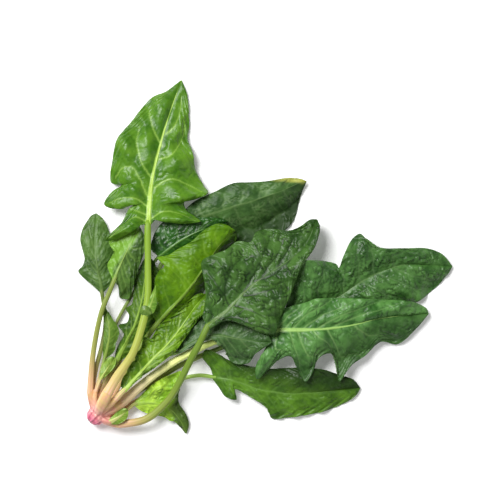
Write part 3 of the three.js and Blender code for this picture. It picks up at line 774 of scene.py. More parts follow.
# the leaves in the order they lie, lowest first
farRightLeaf = {
    "name": "farRight", "node": "far_right", "slot": "leaf_dark", "width": (5, 3.5),
    "stalk": [(13.5, 9, 2.5), (35, 21.5, 3), (62, 38, 3), (95, 52, 4), (125, 63, 6)],
    "rib": [
        (145, 72, 8), (158, 79, 9), (172, 86, 9), (188, 93, 8), (203, 103, 8), (220, 112, 9),
        (240, 118, 9), (260, 117.5, 6), (278.5, 116.5, 2),
    ],
    "left": [
        (145, 84), (150, 97), (153, 108), (157, 120), (166, 121.5), (178, 120.5), (185, 118.5),
        (187.5, 115.5), (190, 123), (196, 136), (203.5, 142.5), (210, 137.5), (220, 131.5), (240, 131),
        (257, 131), (270, 126.5),
    ],
    "right": [
        (156, 67), (168, 64), (182, 61), (188, 66), (194, 70), (203, 72), (212, 75), (222, 78),
        (231, 81), (240, 84), (248, 87), (255, 91), (261, 96), (267, 101), (272, 107), (276, 112),
    ],
    "leftTilt": [10, 14, 16, 10, -5], "rightTilt": [0, -5, -8, -16, -10],
    "arch": 4, "wave": 2.5, "ripples": 4,
    "look": {
        **plainLook,
        "deep": (0.016, 0.063, 0.009), "fresh": (0.075, 0.187, 0.0406), "vein": (0.13, 0.23, 0.085),
        "ribColour": (0.1, 0.19, 0.055), "veinAmount": 0.4, "net": 0.6, "quilt": 1.6, "pucker": 1.6,
        "swell": 1.4, "swellLength": 26, "rough": 0.38, "ruffle": 0.8, "ruffleLength": 17,
        "ribShow": 0.7, "ribUp": 0.2, "gloss": 0.28, "crinkle": 0.16,
        "stem": [(0.5, 0.36, 0.16), (0.3, 0.33, 0.08), (0.15, 0.25, 0.045), (0.12, 0.22, 0.05)],
    },
}
growLeaf(farRightLeaf)

lowRightLeaf = {
    "name": "lowRight", "node": "low_right", "slot": "leaf_mid", "width": (4, 3),
    "stalk": [(16, 3.5, 2.5), (42, 17, 3), (62, 26.5, 3), (76, 29.5, 4)],
    "rib": [
        (87, 28.5, 5), (94, 28, 6), (102, 26.5, 7), (112, 23, 8), (124, 19, 8), (140, 16, 8),
        (160, 15.5, 7), (183, 17.5, 5), (205, 19.5, 2),
    ],
    "left": [
        (85, 36), (79, 44), (82, 50.5), (92, 47), (100, 42), (110, 39), (122, 36.5), (135, 35.5),
        (150, 36), (163, 36), (176, 34.5), (190, 29.5), (199, 26.5),
    ],
    "right": [
        (92, 20), (97, 13), (106, 10.5), (104.5, 19), (116, 13), (125, 7.5), (131, 2.5), (134.5, -5),
        (146, -4.5), (160, -2.5), (175, 0.5), (190, 6), (201, 13),
    ],
    "leftTilt": [0, 8, 12, 8], "rightTilt": [0, -8, -14, -10],
    "arch": 2.5, "wave": 2, "ripples": 4,
    "look": {
        **plainLook,
        "deep": (0.033, 0.0986, 0.0054), "fresh": (0.091, 0.2128, 0.0144), "vein": (0.14, 0.28, 0.055),
        "ribColour": (0.14, 0.28, 0.05), "veinAmount": 0.3, "pucker": 0.7, "quilt": 1.2, "swell": 1.2,
        "swellLength": 24, "ruffle": 0.9, "ruffleLength": 14, "ribShow": 0.5, "ribUp": 0.1,
        # painted shadow darkens the left half, where the right leaf's lobes shade it
        "gloss": 0.22, "crinkle": 0.12, "paintedShadeBand": (0.45, 1.2, 0.9, -0.6),
        "stem": [(0.5, 0.36, 0.16), (0.34, 0.37, 0.09), (0.25, 0.4, 0.06), (0.22, 0.38, 0.05)],
    },
}
growLeaf(lowRightLeaf)

yellowTipLeaf = {
    "name": "yellowTip", "node": "yellow_tip", "slot": "leaf_dark", "width": (4.5, 3),
    "stalk": [(2.5, 18.7, 2.5), (13, 42, 3), (27, 75, 3), (43, 112, 3), (56, 136, 4)],
    "rib": [
        (66, 150, 6), (82, 157, 9), (100, 163, 11), (120, 169, 12), (140, 176, 10), (154, 182, 6),
        (162, 184.5, 4),
    ],
    "left": [
        (63, 158), (72, 168), (88, 175.5), (103, 182.5), (118, 183.5), (132, 184.5), (146, 187),
        (156, 186.5),
    ],
    "right": [
        (76, 143), (90, 136.5), (104, 133), (119, 133), (134, 139), (146, 146.5), (153, 156),
        (157, 172),
    ],
    "leftTilt": [0, -6, -8, 0], "rightTilt": [-10, -32, -38, -15],
    "arch": 2.5, "wave": 1.5, "ripples": 3,
    "look": {
        **plainLook,
        "deep": (0.015, 0.0544, 0.007), "fresh": (0.0488, 0.12, 0.022), "vein": (0.13, 0.22, 0.075),
        "ribColour": (0.1, 0.18, 0.05), "veinAmount": 0.4, "net": 0.45, "quilt": 1.4, "cell": 5.5,
        "swell": 1.3, "rough": 0.5, "tint": (0.36, 0.38, 0.07), "ruffle": 0.7, "ribShow": 0.6,
        "ribUp": 0.1, "fineVeinShadeAndTone": (0.15, 0.24, 0.085), "gloss": 0.28, "crinkle": 0.08,
        # painted shade darkens the steep right half; the tint band is the tip's own yellow
        "tintBand": (0.84, 0.95, 0.9, -0.2), "paintedShadeBand": (0.5, 1.5, 0.85, 1.0),
        "stem": [(0.5, 0.36, 0.16), (0.3, 0.33, 0.09), (0.16, 0.25, 0.045), (0.12, 0.22, 0.045)],
    },
}
growLeaf(yellowTipLeaf)

glossyLeaf = {
    "name": "glossy", "node": "glossy", "slot": "leaf_dark", "width": (3, 2.5),
    "stalk": [(-4.2, 20, 2.5), (2, 48, 3), (10, 71, 3), (21, 91, 3), (33, 110, 4)],
    "rib": [(44, 124, 7), (52, 130, 9), (62, 137, 10), (73, 143, 10), (84, 147.5, 9), (100, 152, 6)],
    "left": [(38, 131), (41, 143), (49, 153), (63, 157), (77, 155.5), (87, 155.5), (95, 154.5)],
    "right": [(51, 121), (59, 124), (67, 128), (75, 133), (83, 138), (90, 143), (96, 148)],
    "leftTilt": [-8, -15, -10], "rightTilt": [-10, -10, -10],
    "arch": 1.5, "wave": 1, "ripples": 4,
    "look": {
        **plainLook,
        "deep": (0.004, 0.026, 0.002), "fresh": (0.018, 0.09, 0.006), "vein": (0.08, 0.2, 0.03),
        "ribColour": (0.08, 0.2, 0.03), "pucker": 0.9, "cell": 4, "rough": 0.34, "crinkle": 0.16,
        "gloss": 0.3,
        "stem": [(0.4, 0.3, 0.1), (0.22, 0.26, 0.06), (0.13, 0.21, 0.03), (0.1, 0.19, 0.025)],
    },
}
growLeaf(glossyLeaf)

rolledLeaf = {
    "name": "rolled", "node": "rolled", "slot": "leaf_mid", "width": (5, 4),
    "stalk": [(-1, 19, 5), (4, 30, 4)],
    "rib": [
        (11, 42, 5), (15, 50, 7), (19.5, 58, 8), (24, 67, 9), (28, 78, 9), (31, 90, 8), (33, 105, 6),
        (35, 125, 4),
    ],
    "left": [
        (10, 49), (13, 56), (16.5, 63), (12, 69.5), (19, 72), (20.5, 78), (18, 83), (23, 87), (24, 95),
        (24.5, 104), (27, 112), (31, 120),
    ],
    "right": [
        (19, 45), (25, 49), (31, 54), (37, 61), (43, 68), (47, 76), (49, 85), (49, 94), (47, 103),
        (45, 110), (42, 117), (39, 122),
    ],
    "leftTilt": [-20, -25, -30, -25], "rightTilt": [-10, -12, -15, -10],
    "arch": 2, "wave": 1, "ripples": 4,
    "look": {
        **plainLook,
        "deep": (0.022, 0.066, 0.003), "fresh": (0.062, 0.14, 0.006), "vein": (0.2, 0.33, 0.05),
        "ribColour": (0.22, 0.36, 0.05), "cell": 5, "ruffle": 0.7, "swell": 0.9, "swellLength": 15,
        "gloss": 0.2, "rough": 0.44, "net": 0.4, "crinkle": 0.08,
        "stem": [(0.5, 0.36, 0.12), (0.36, 0.4, 0.08), (0.24, 0.35, 0.045), (0.2, 0.32, 0.04)],
    },
}
growLeaf(rolledLeaf)

lowLeaf = {
    "name": "low", "node": "low", "slot": "leaf_bright", "width": (4, 3),
    "stalk": [(13.5, -2, 2.5), (19, 2.5, 4)],
    "rib": [(25, 7, 6), (33, 8, 7), (41, 7.5, 7), (49, 5, 6), (56, 0, 5), (62, -8, 4), (66, -17, 2)],
    "left": [
        (30, 14), (37, 21), (46, 27), (55, 31), (62, 33), (63, 26), (60, 18), (60, 8), (65, 0),
        (68, -9),
    ],
    "right": [
        (31, 1), (37, -1), (43, -2.5), (48, -3.5), (52, -6), (55, -7), (58, -8.5), (60.5, -11),
        (62.5, -13.5), (64.5, -16),
    ],
    "leftTilt": [0, 5, 0, -5], "rightTilt": [-10, -10, -10],
    "arch": 1.5, "wave": 2.5, "ripples": 4,
    "look": {
        **plainLook,
        "deep": (0.2, 0.4, 0.018), "fresh": (0.42, 0.64, 0.06), "vein": (0.3, 0.46, 0.08),
        "ribColour": (0.26, 0.42, 0.07), "pucker": 1.3, "cell": 4.5, "swell": 1.0, "swellLength": 12,
        "tint": (0.05, 0.1, 0.012), "ruffle": 1.3, "ruffleLength": 8, "ribShow": 0.5, "gloss": 0.3,
        "net": 0.4, "crinkle": 0.16, "tintBand": (0.5, 0.68, 0.95, 0.0),
        "stem": [(0.6, 0.42, 0.2), (0.45, 0.45, 0.11), (0.28, 0.4, 0.055), (0.23, 0.36, 0.05)],
    },
}
growLeaf(lowLeaf)

foldedLeaf = {
    "name": "folded", "node": "folded", "slot": "leaf_bright", "width": (5, 4),
    "stalk": [(8.5, 15.3, 3), (18, 32, 4), (28, 49, 5), (37, 63, 6)],
    "rib": [
        (44, 72, 8), (51, 79.5, 10), (60, 89, 12), (69, 99.5, 14), (77, 110.5, 14), (84, 120.5, 14),
        (91, 131.5, 13), (98, 139, 11), (105, 145, 8),
    ],
    "left": [
        (39.5, 79), (40.3, 92), (41.5, 106), (45, 113), (49, 117), (43.5, 123.5), (52, 125.5),
        (60, 130.5), (70, 136), (79, 144), (89, 150), (98, 149.5),
    ],
    "right": [
        (49, 68.5), (58, 71), (67, 77.5), (74.5, 87), (81, 98), (84, 105), (87.5, 112), (91.5, 119),
        (96, 126), (101, 131), (105, 136), (106.5, 141),
    ],
    "leftTilt": [-5, -5, -5, -10], "rightTilt": [-20, -38, -40, -20],
    "arch": 2, "wave": 1.2, "ripples": 3,
    "look": {
        **plainLook,
        "deep": (0.045, 0.125, 0.001), "fresh": (0.105, 0.235, 0.003), "vein": (0.19, 0.33, 0.03),
        "ribColour": (0.17, 0.29, 0.035), "veinAmount": 0.4, "net": 0.12, "quilt": 0.9, "pucker": 0.6,
        "rough": 0.42, "swell": 0.9, "swellLength": 20, "gloss": 0.22, "crinkle": 0.08,
        # painted shade darkens the steep right half
        "paintedShadeBand": (0.7, 2.2, 0.8, 3.0),
        "stem": [(0.6, 0.43, 0.16), (0.38, 0.4, 0.08), (0.2, 0.3, 0.035), (0.16, 0.27, 0.03)],
    },
}
growLeaf(foldedLeaf)

rightLeaf = {
    "name": "right", "node": "right", "slot": "leaf_dark", "width": (8, 4.5),
    "stalk": [
        (15, 8.5, 7.5), (35, 26, 8), (50, 37, 9), (65, 46, 9), (80, 53.5, 9), (95, 59, 9),
        (114, 64, 10),
    ],
    "rib": [
        (130, 65.5, 12), (133.5, 65.8, 13), (139, 66, 14), (147.5, 66.3, 15), (157.5, 66.5, 15),
        (168.5, 66.8, 15), (181, 68, 15), (199, 70.7, 14), (223, 76, 11), (259.5, 79, 3),
    ],
    "left": [
        (132, 72), (135, 76), (139, 80), (143, 83), (148.5, 85), (155, 86.5), (162, 88.5), (168, 91),
        (176, 91.5), (185, 91.5), (194, 91.5), (203, 91.3), (212, 90.8), (221, 90.3), (230, 90),
        (239, 89.5), (247, 88), (253, 86), (257.5, 83),
    ],
    "right": [
        (132, 56), (127, 47), (121.5, 38), (122.5, 27.5), (131, 34.5), (140, 43), (149, 45.5),
        (154, 36), (160.5, 25.5), (167, 33.5), (171, 44), (181, 47.5), (185.5, 38), (188, 25.5),
        (197, 37.5), (209, 46), (221, 56.5), (235, 54.5), (249, 66.5),
    ],
    "leftTilt": [0, 4, 0, -6], "rightTilt": [-8, -14, -28, -36, -20],
    "arch": 3, "wave": 2, "ripples": 5,
    "look": {
        **plainLook,
        "deep": (0.026, 0.1, 0.014), "fresh": (0.1, 0.25, 0.056), "vein": (0.18, 0.33, 0.1),
        "ribColour": (0.3, 0.5, 0.13), "veinAmount": 0.85, "net": 0.5, "quilt": 1.3, "cell": 6.5,
        "swell": 1.0, "ruffle": 0.8, "ruffleLength": 15, "gloss": 0.3, "crinkle": 0.06,
        # painted shade darkens the right half towards the tip
        "paintedShadeBand": (0.72, 1.1, 0.5, 0.7),
        "stem": [(0.9, 0.76, 0.44), (0.9, 0.92, 0.36), (0.76, 0.9, 0.24), (0.44, 0.68, 0.14)],
    },
}
growLeaf(rightLeaf)

underLeaf = {
    "name": "under", "node": "under", "slot": "leaf_dark", "width": (4, 3),
    "stalk": [(11, 12.5, 6), (24, 27, 7), (36, 39, 8), (48, 45.5, 9)],
    "rib": [
        (60, 49, 10), (70, 55.5, 11), (80, 60, 12), (92, 62, 12), (104, 60, 11), (118, 58, 9),
        (134, 57, 8),
    ],
    "left": [
        (61, 55), (65, 63), (71, 71), (77, 78), (86, 80), (97, 80), (107, 79), (117, 76), (126, 71),
        (131, 64),
    ],
    "right": [
        (70, 52.5), (80, 57.5), (90, 59.5), (95, 55), (98, 48), (101.5, 41.5), (108, 39), (116, 40.5),
        (121, 47.5), (127, 52),
    ],
    "leftTilt": [-10, -10, -5, 0], "rightTilt": [-20, -30, -35, -20],
    "arch": 2, "wave": 1.5, "ripples": 4,
    "look": {
        **plainLook,
        "deep": (0.028, 0.078, 0.014), "fresh": (0.0525, 0.1271, 0.028), "vein": (0.12, 0.2, 0.07),
        "ribColour": (0.1, 0.18, 0.05), "net": 0.6, "cell": 4.5, "swell": 1.0, "swellLength": 16,
        "ribShow": 0.6, "rough": 0.46, "gloss": 0.3, "crinkle": 0.08,
        "stem": [(0.5, 0.36, 0.16), (0.3, 0.33, 0.09), (0.16, 0.25, 0.045), (0.12, 0.22, 0.045)],
    },
}
growLeaf(underLeaf)

raggedLeaf = {
    "name": "ragged", "node": "ragged", "slot": "leaf_bright", "width": (5, 4),
    "stalk": [(12, 13.5, 9)],
    "rib": [
        (17.5, 19, 10), (22, 23.2, 10.5), (26, 27.5, 11), (31, 33, 12), (36.5, 39, 12), (42, 45, 12),
        (48, 51, 12), (54, 57.5, 12), (60, 65, 12), (66, 74, 12), (73, 84, 11), (82, 95, 9),
    ],
    "left": [
        (15, 23.5), (16.5, 29), (20, 33.6), (20.6, 39.6), (26.5, 43), (25, 48), (30.5, 51.5), (33, 61),
        (38.8, 59.8), (42.8, 67), (47.3, 72.2), (53.2, 76), (58, 79.6), (63, 84.3), (69, 90),
        (75, 94.5),
    ],
    "right": [
        (21.5, 20.8), (27, 25.8), (32.5, 30.5), (38.5, 34.5), (44.5, 39), (51, 44), (57.5, 49),
        (61, 53.5), (64, 58), (67.5, 62.5), (70.5, 67.5), (74, 72), (77.5, 76.5), (80.5, 80.5),
        (83, 84.5), (85, 89.5),
    ],
    "leftTilt": [10, 15, 0, 0], "rightTilt": [-10, -10, -10, 0],
    "arch": 1.5, "wave": 2.5, "ripples": 6,
    "look": {
        **plainLook,
        "deep": (0.045, 0.12, 0.002), "fresh": (0.12, 0.245, 0.006), "vein": (0.32, 0.47, 0.08),
        "ribColour": (0.34, 0.5, 0.08), "pucker": 0.9, "cell": 5, "ruffle": 1.1, "ruffleLength": 8,
        "swell": 1.0, "swellLength": 14, "gloss": 0.26, "net": 0.45, "crinkle": 0.08,
        "stem": [(0.66, 0.47, 0.2), (0.52, 0.52, 0.13), (0.37, 0.5, 0.08), (0.3, 0.46, 0.06)],
    },
}
growLeaf(raggedLeaf)

farLeftLeaf = {
    "name": "farLeft", "node": "far_left", "slot": "leaf_dark", "width": (4, 3),
    "stalk": [(-8.5, 19.5, 4), (-6, 35, 4), (-2, 50, 4), (1, 65, 4), (1.5, 78, 5), (0, 88, 6)],
    "rib": [
        (-1, 96, 8), (-2, 103, 9), (-3.5, 110, 9), (-5, 118, 9), (-6.5, 128, 8), (-7, 140, 6),
        (-6, 159, 2),
    ],
    "left": [
        (-8, 101), (-14, 106), (-20, 112.5), (-16.5, 117), (-15, 123), (-17, 131), (-18.5, 138),
        (-17.5, 144), (-15.5, 149), (-13, 153), (-10, 157),
    ],
    "right": [
        (4, 100), (8, 104.5), (8.5, 110), (5.5, 115), (6.5, 121), (8, 128), (7.5, 134), (5.5, 141),
        (3.5, 146.5), (2, 150.5), (-1.5, 155.5),
    ],
    "leftTilt": [-10, -10, -10], "rightTilt": [-15, -10, -10],
    "arch": 2.5, "wave": 1, "ripples": 3,
    "look": {
        **plainLook,
        "deep": (0.03, 0.08, 0.01), "fresh": (0.08, 0.165, 0.03), "vein": (0.14, 0.23, 0.065),
        "ribColour": (0.11, 0.19, 0.045), "pucker": 0.9, "rough": 0.44, "swell": 0.9, "ribShow": 0.7,
        "gloss": 0.26,
        "stem": [(0.45, 0.33, 0.12), (0.24, 0.27, 0.06), (0.15, 0.2, 0.035), (0.13, 0.19, 0.035)],
    },
}
growLeaf(farLeftLeaf)

slimLeaf = {
    "name": "slim", "node": "slim", "slot": "leaf_mid", "width": (3, 2.5),
    "stalk": [(-5, 20, 9), (-1.5, 33, 9)],
    "rib": [(1.5, 44, 9), (3.5, 52, 10), (5, 60, 10), (5, 68, 9), (3.5, 76, 7), (1, 84, 4)],
    "left": [(0, 51), (0.5, 58), (1, 65), (1, 71), (0.5, 76), (0, 80.5)],
    "right": [(9, 49), (10.5, 56), (13, 63), (11.5, 69), (8, 74.5), (4.5, 80)],
    "leftTilt": [-15, -15, -10], "rightTilt": [-10, -10, -10],
    "arch": 1.5, "wave": 0.8, "ripples": 3,
    "look": {
        **plainLook,
        "deep": (0.045, 0.105, 0.008), "fresh": (0.1, 0.2, 0.02), "vein": (0.2, 0.31, 0.05),
        "ribColour": (0.2, 0.3, 0.05), "pucker": 0.7, "cell": 5, "ruffle": 0.4, "swell": 0.4,
        "gloss": 0.26,
        "stem": [(0.5, 0.33, 0.12), (0.32, 0.35, 0.08), (0.21, 0.3, 0.045), (0.17, 0.27, 0.04)],
    },
}
growLeaf(slimLeaf)

leftLeaf = {
    "name": "left", "node": "left", "slot": "leaf_mid", "width": (5, 3.5),
    "stalk": [(-10, 18, 9), (-8.5, 40, 9), (-6.5, 55, 9), (-3.5, 70, 10), (0, 83, 11), (5, 95, 12)],
    "rib": [
        (9.5, 106, 13), (12, 112, 14), (14.5, 118, 14), (17.5, 124.5, 14), (21, 132, 13), (25, 140, 12),
        (29, 149, 10),
    ],
    "left": [
        (5.5, 112), (4, 118), (7, 124), (9, 128.5), (6, 133), (5, 137.5), (10, 142), (16, 145),
        (22, 148),
    ],
    "right": [
        (12.5, 99), (13, 91.8), (16.5, 90.5), (20.5, 91), (23, 97), (26, 107), (29, 117), (32.5, 127),
        (34, 138),
    ],
    "leftTilt": [5, 0, -10], "rightTilt": [-30, -30, -25, -10],
    "arch": 2, "wave": 1.2, "ripples": 3,
    "look": {
        **plainLook,
        "deep": (0.026, 0.066, 0.009), "fresh": (0.075, 0.16, 0.025), "vein": (0.17, 0.29, 0.06),
        "ribColour": (0.2, 0.32, 0.06), "pucker": 0.8, "ruffle": 0.8, "swell": 0.9,
        "tint": (0.17, 0.36, 0.03), "gloss": 0.26, "tintBand": (0.45, 0.8, 0.8, -1.0),
        "stem": [(0.52, 0.34, 0.14), (0.28, 0.29, 0.065), (0.19, 0.24, 0.04), (0.19, 0.26, 0.045)],
    },
}
growLeaf(leftLeaf)

budLeaf = {
    "name": "bud", "node": "bud", "slot": "leaf_bright", "width": (2.5, 2),
    "stalk": [(-4.5, 19.5, 9)],
    "rib": [(-1.5, 27, 10), (1.5, 32, 11), (4, 36, 11), (6.5, 40, 10), (9, 45, 9)],
    "left": [(-2, 33), (-0.5, 38), (2, 42), (5.5, 45)],
    "right": [(4, 31), (7.5, 34.5), (9.8, 38), (10.5, 42)],
    "leftTilt": [-10, -10], "rightTilt": [-10, -10],
    "arch": 1, "wave": 0.6, "ripples": 2,
    "look": {
        **plainLook,
        "deep": (0.12, 0.23, 0.018), "fresh": (0.24, 0.4, 0.05), "vein": (0.36, 0.48, 0.1),
        "ribColour": (0.4, 0.5, 0.11), "pucker": 0.6, "cell": 4, "ruffle": 0.4, "swell": 0.3,
        "stem": [(0.66, 0.43, 0.23), (0.52, 0.47, 0.16), (0.38, 0.47, 0.1), (0.33, 0.45, 0.08)],
    },
}
growLeaf(budLeaf)

nettedLeaf = {
    "name": "netted", "node": "netted", "slot": "leaf_dark", "width": (6.5, 5),
    "stalk": [
        (15, -8.5, 9), (29, -6.5, 9), (40, -1, 9), (53, 12, 10), (61, 25, 11), (70, 43, 12),
        (77, 56, 13),
    ],
    "rib": [
        (84, 70, 15), (92, 76.5, 16), (99, 82, 17), (111, 95, 17), (123, 105, 17), (137, 114.5, 17),
        (151, 124, 16), (162, 135, 14), (170, 154, 10),
    ],
    "left": [
        (79.5, 77), (81, 85), (82, 93), (81, 104), (78.5, 120), (88, 126), (98, 130), (107, 136.5),
        (117, 136), (122, 144), (133, 146.5), (147, 145), (156, 148), (164, 153.5),
    ],
    "right": [
        (97, 74), (108, 72), (118, 68), (127, 64), (136, 63.5), (139, 72), (142, 79), (145, 86),
        (149, 95), (152, 103), (156, 113), (161, 122), (168, 132), (172, 146),
    ],
    "leftTilt": [0, -5, -8, -6], "rightTilt": [-20, -18, -20, -15],
    "arch": 3, "wave": 2, "ripples": 5,
    "veins": [
        [(101.2, 84.1), (97.4, 93.6), (98.4, 105), (104, 116.3), (111.7, 125.8)],
        [(111.7, 95.5), (118.3, 106.9), (124.9, 120.1), (131.6, 135.3), (132.5, 141)],
        [(119.2, 135.3), (123, 127.7), (125.9, 122)],
        [(98.4, 105), (93.7, 116.3), (90.8, 122)],
        [(104, 116.3), (102.2, 125.8), (103.1, 131.5)],
        [(97.4, 93.6), (90, 103), (84, 111)],
        [(126, 107), (131, 116), (139, 127), (143, 139)],
        [(139, 116.5), (146, 128), (152, 140)],
        [(111.7, 93.6), (122, 95.5), (135.3, 99.3), (144.8, 101.2)],
        [(105, 86), (112.6, 84.1), (122, 80.3), (129.7, 76.5)],
        [(120.2, 105), (131.6, 108.7), (142.9, 116.3), (152.4, 125.8)],
        [(90, 75.5), (105, 77), (122, 70), (132, 66)],
    ],
    "look": {
        **plainLook,
        # vein and crease colours near black: painted shade in the sunken veins
        "deep": (0.018, 0.058, 0.008), "fresh": (0.058, 0.138, 0.024), "vein": (0.006, 0.02, 0.003),
        "ribColour": (0.17, 0.26, 0.085), "veinAmount": 0.9, "net": 0.85, "quilt": 2.0, "pucker": 1.8,
        "cell": 6.5, "rough": 0.38, "ruffle": 0.8, "ruffleLength": 13, "ribShow": 0.5, "swell": 1.2,
        "fineVeinShadeAndTone": (0.006, 0.02, 0.003), "ribFade": 4, "gloss": 0.24, "crinkle": 0.04, "veinWide": 1.1,
        "stem": [(0.52, 0.36, 0.14), (0.24, 0.3, 0.05), (0.14, 0.235, 0.02), (0.125, 0.22, 0.02)],
    },
}
growLeaf(nettedLeaf)

tallLeaf = {
    "name": "tall", "node": "tall", "slot": "leaf_mid", "width": (8, 5),
    "stalk": [
        (6, 19, 15), (12.5, 30, 15), (19.5, 40, 15), (25.5, 50, 15), (32, 70, 14), (36, 90, 12),
        (36.2, 110, 11), (36, 132, 11),
    ],
    "rib": [
        (36, 150, 11), (36.2, 154, 11), (36.5, 158, 11), (36.8, 163, 11), (37.4, 171, 11),
        (38.6, 182, 11), (42.4, 201, 10), (51, 233, 5.5), (62, 265.5, 0.6),
    ],
    "left": [
        (27, 148), (19, 142), (10, 138), (2.5, 137), (8, 144), (15, 151), (20, 161), (23.5, 165.5),
        (13, 162), (1, 165.5), (7, 176), (14, 181), (5.7, 184), (7, 200), (11, 218), (22, 232),
        (37, 250.5), (50, 256.5),
    ],
    "right": [
        (43, 154), (50, 152.5), (63, 150.5), (77.5, 152), (72, 157), (66, 162), (65, 168), (74, 170),
        (83.5, 174.5), (80, 181), (76, 188), (73, 195), (72, 204), (70, 211), (67, 218), (68.3, 228),
        (68, 240), (66.5, 254),
    ],
    "leftTilt": [0, 0, -6, -8, -10], "rightTilt": [0, 0, -8, -10, -10],
    "arch": 4, "wave": 2, "ripples": 4,
    "veins": [
        [(38.4, 187.5), (31.3, 197.8), (28.2, 207.3), (26.6, 216), (28.5, 228)],
        [(35.5, 172.5), (29.7, 185.2), (23.4, 195), (15.5, 195), (9.5, 187)],
        [(47, 212), (40, 226), (36, 240)],
        [(44.7, 201.8), (53.4, 204.9), (59.7, 212), (64, 221), (65.5, 232)],
        [(40.8, 178.9), (48.7, 184.4), (56.6, 186), (67, 182), (79, 176)],
        [(50, 222), (57, 229), (61, 240), (62, 252)],
        [(36.5, 157), (28, 160.5), (21, 163)],
        [(36.8, 163), (27, 170), (15, 171), (5, 167)],
        [(35.8, 152), (25, 156), (14, 147), (5, 139)],
        [(36.3, 153), (47, 160), (60, 159.5), (74, 153)],
    ],
    "look": {
        **plainLook,
        "deep": (0.0336, 0.1189, 0.0036), "fresh": (0.0892, 0.2125, 0.0126),
        "vein": (0.27, 0.44, 0.075), "ribColour": (0.37, 0.54, 0.085), "veinAmount": 0.75, "net": 0.3,
        "veinStep": 0.2, "quilt": 2.0, "pucker": 0.55, "cell": 8, "rough": 0.34, "ruffle": 0.8,
        "ruffleLength": 16, "swell": 1.2, "crinkle": 0.035, "fineVeinShadeAndTone": (0.03, 0.1, 0.004), "gloss": 0.27,
        "stem": [(0.6, 0.46, 0.17), (0.42, 0.41, 0.085), (0.23, 0.35, 0.026), (0.17, 0.31, 0.02)],
    },
}
growLeaf(tallLeaf)

youngLeaf = {
    "name": "young", "node": "young", "slot": "leaf_bright", "width": (6, 4),
    "stalk": [],
    "rib": [(6, -6.5, 15), (10, -4.5, 16), (14, -2, 16), (17, 0.5, 16), (20, 3.5, 15)],
    "left": [(8, -2), (11, 1), (14.5, 3.5), (18, 4.5)],
    "right": [(11, -8.5), (15.5, -7), (19, -4), (20.5, 0)],
    "leftTilt": [-10, -10], "rightTilt": [-15, -10],
    "arch": 1, "wave": 0.5, "ripples": 2,
    "look": {
        **plainLook,
        "deep": (0.12, 0.23, 0.012), "fresh": (0.22, 0.38, 0.035), "vein": (0.4, 0.5, 0.11),
        "ribColour": (0.5, 0.52, 0.17), "pucker": 0.6, "cell": 4, "ruffle": 0.4, "swell": 0.3,
        "stem": [(0.74, 0.5, 0.28), (0.6, 0.56, 0.2), (0.46, 0.56, 0.13), (0.4, 0.54, 0.1)],
    },
}
growLeaf(youngLeaf)

pointedWing = {
    "name": "pointedWing", "node": None, "slot": "leaf_mid", "width": (2, 2),
    "rib": [(35.5, 78, 2.2), (38.5, 86, 3.2), (40.8, 93, 3.6), (42.6, 102, 3)],
    "left": [(36, 84), (37.5, 90), (40.2, 97)],
    "right": [(41, 80.5), (43.4, 87), (42.8, 95)],
    "leftTilt": [-5, 5], "rightTilt": [-10, -15],
    "arch": 0.5, "wave": 0.3, "ripples": 2,
    "look": {
        **plainLook,
        "deep": (0.08, 0.2, 0.012), "fresh": (0.17, 0.33, 0.03), "vein": (0.28, 0.42, 0.07),
        "ribColour": (0.24, 0.38, 0.06), "pucker": 0.3, "quilt": 0.2, "ruffle": 0.2, "swell": 0.1,
        "cell": 4,
    },
}
growWing(pointedWing, "tall")

curledFlap = {
    "name": "curledFlap", "node": None, "slot": "leaf_mid", "width": (2, 2),
    "rib": [(38.5, 79.5, 2.4), (35.5, 82, 4), (33, 82.5, 3.8), (30, 82, 2)],
    "left": [(36, 77.5), (33, 78), (31, 79.5)],
    "right": [(37.5, 84.5), (34, 86), (31.3, 84.5)],
    "leftTilt": [-15, -20], "rightTilt": [-10, -15],
    "arch": 0.8, "wave": 0.4, "ripples": 2,
    "look": {
        **plainLook,
        "deep": (0.03, 0.08, 0.006), "fresh": (0.08, 0.17, 0.014), "vein": (0.2, 0.32, 0.05),
        "ribColour": (0.14, 0.24, 0.04), "pucker": 0.3, "quilt": 0.2, "ruffle": 0.2, "swell": 0.1,
        "cell": 4,
    },
}
growWing(curledFlap, "tall")


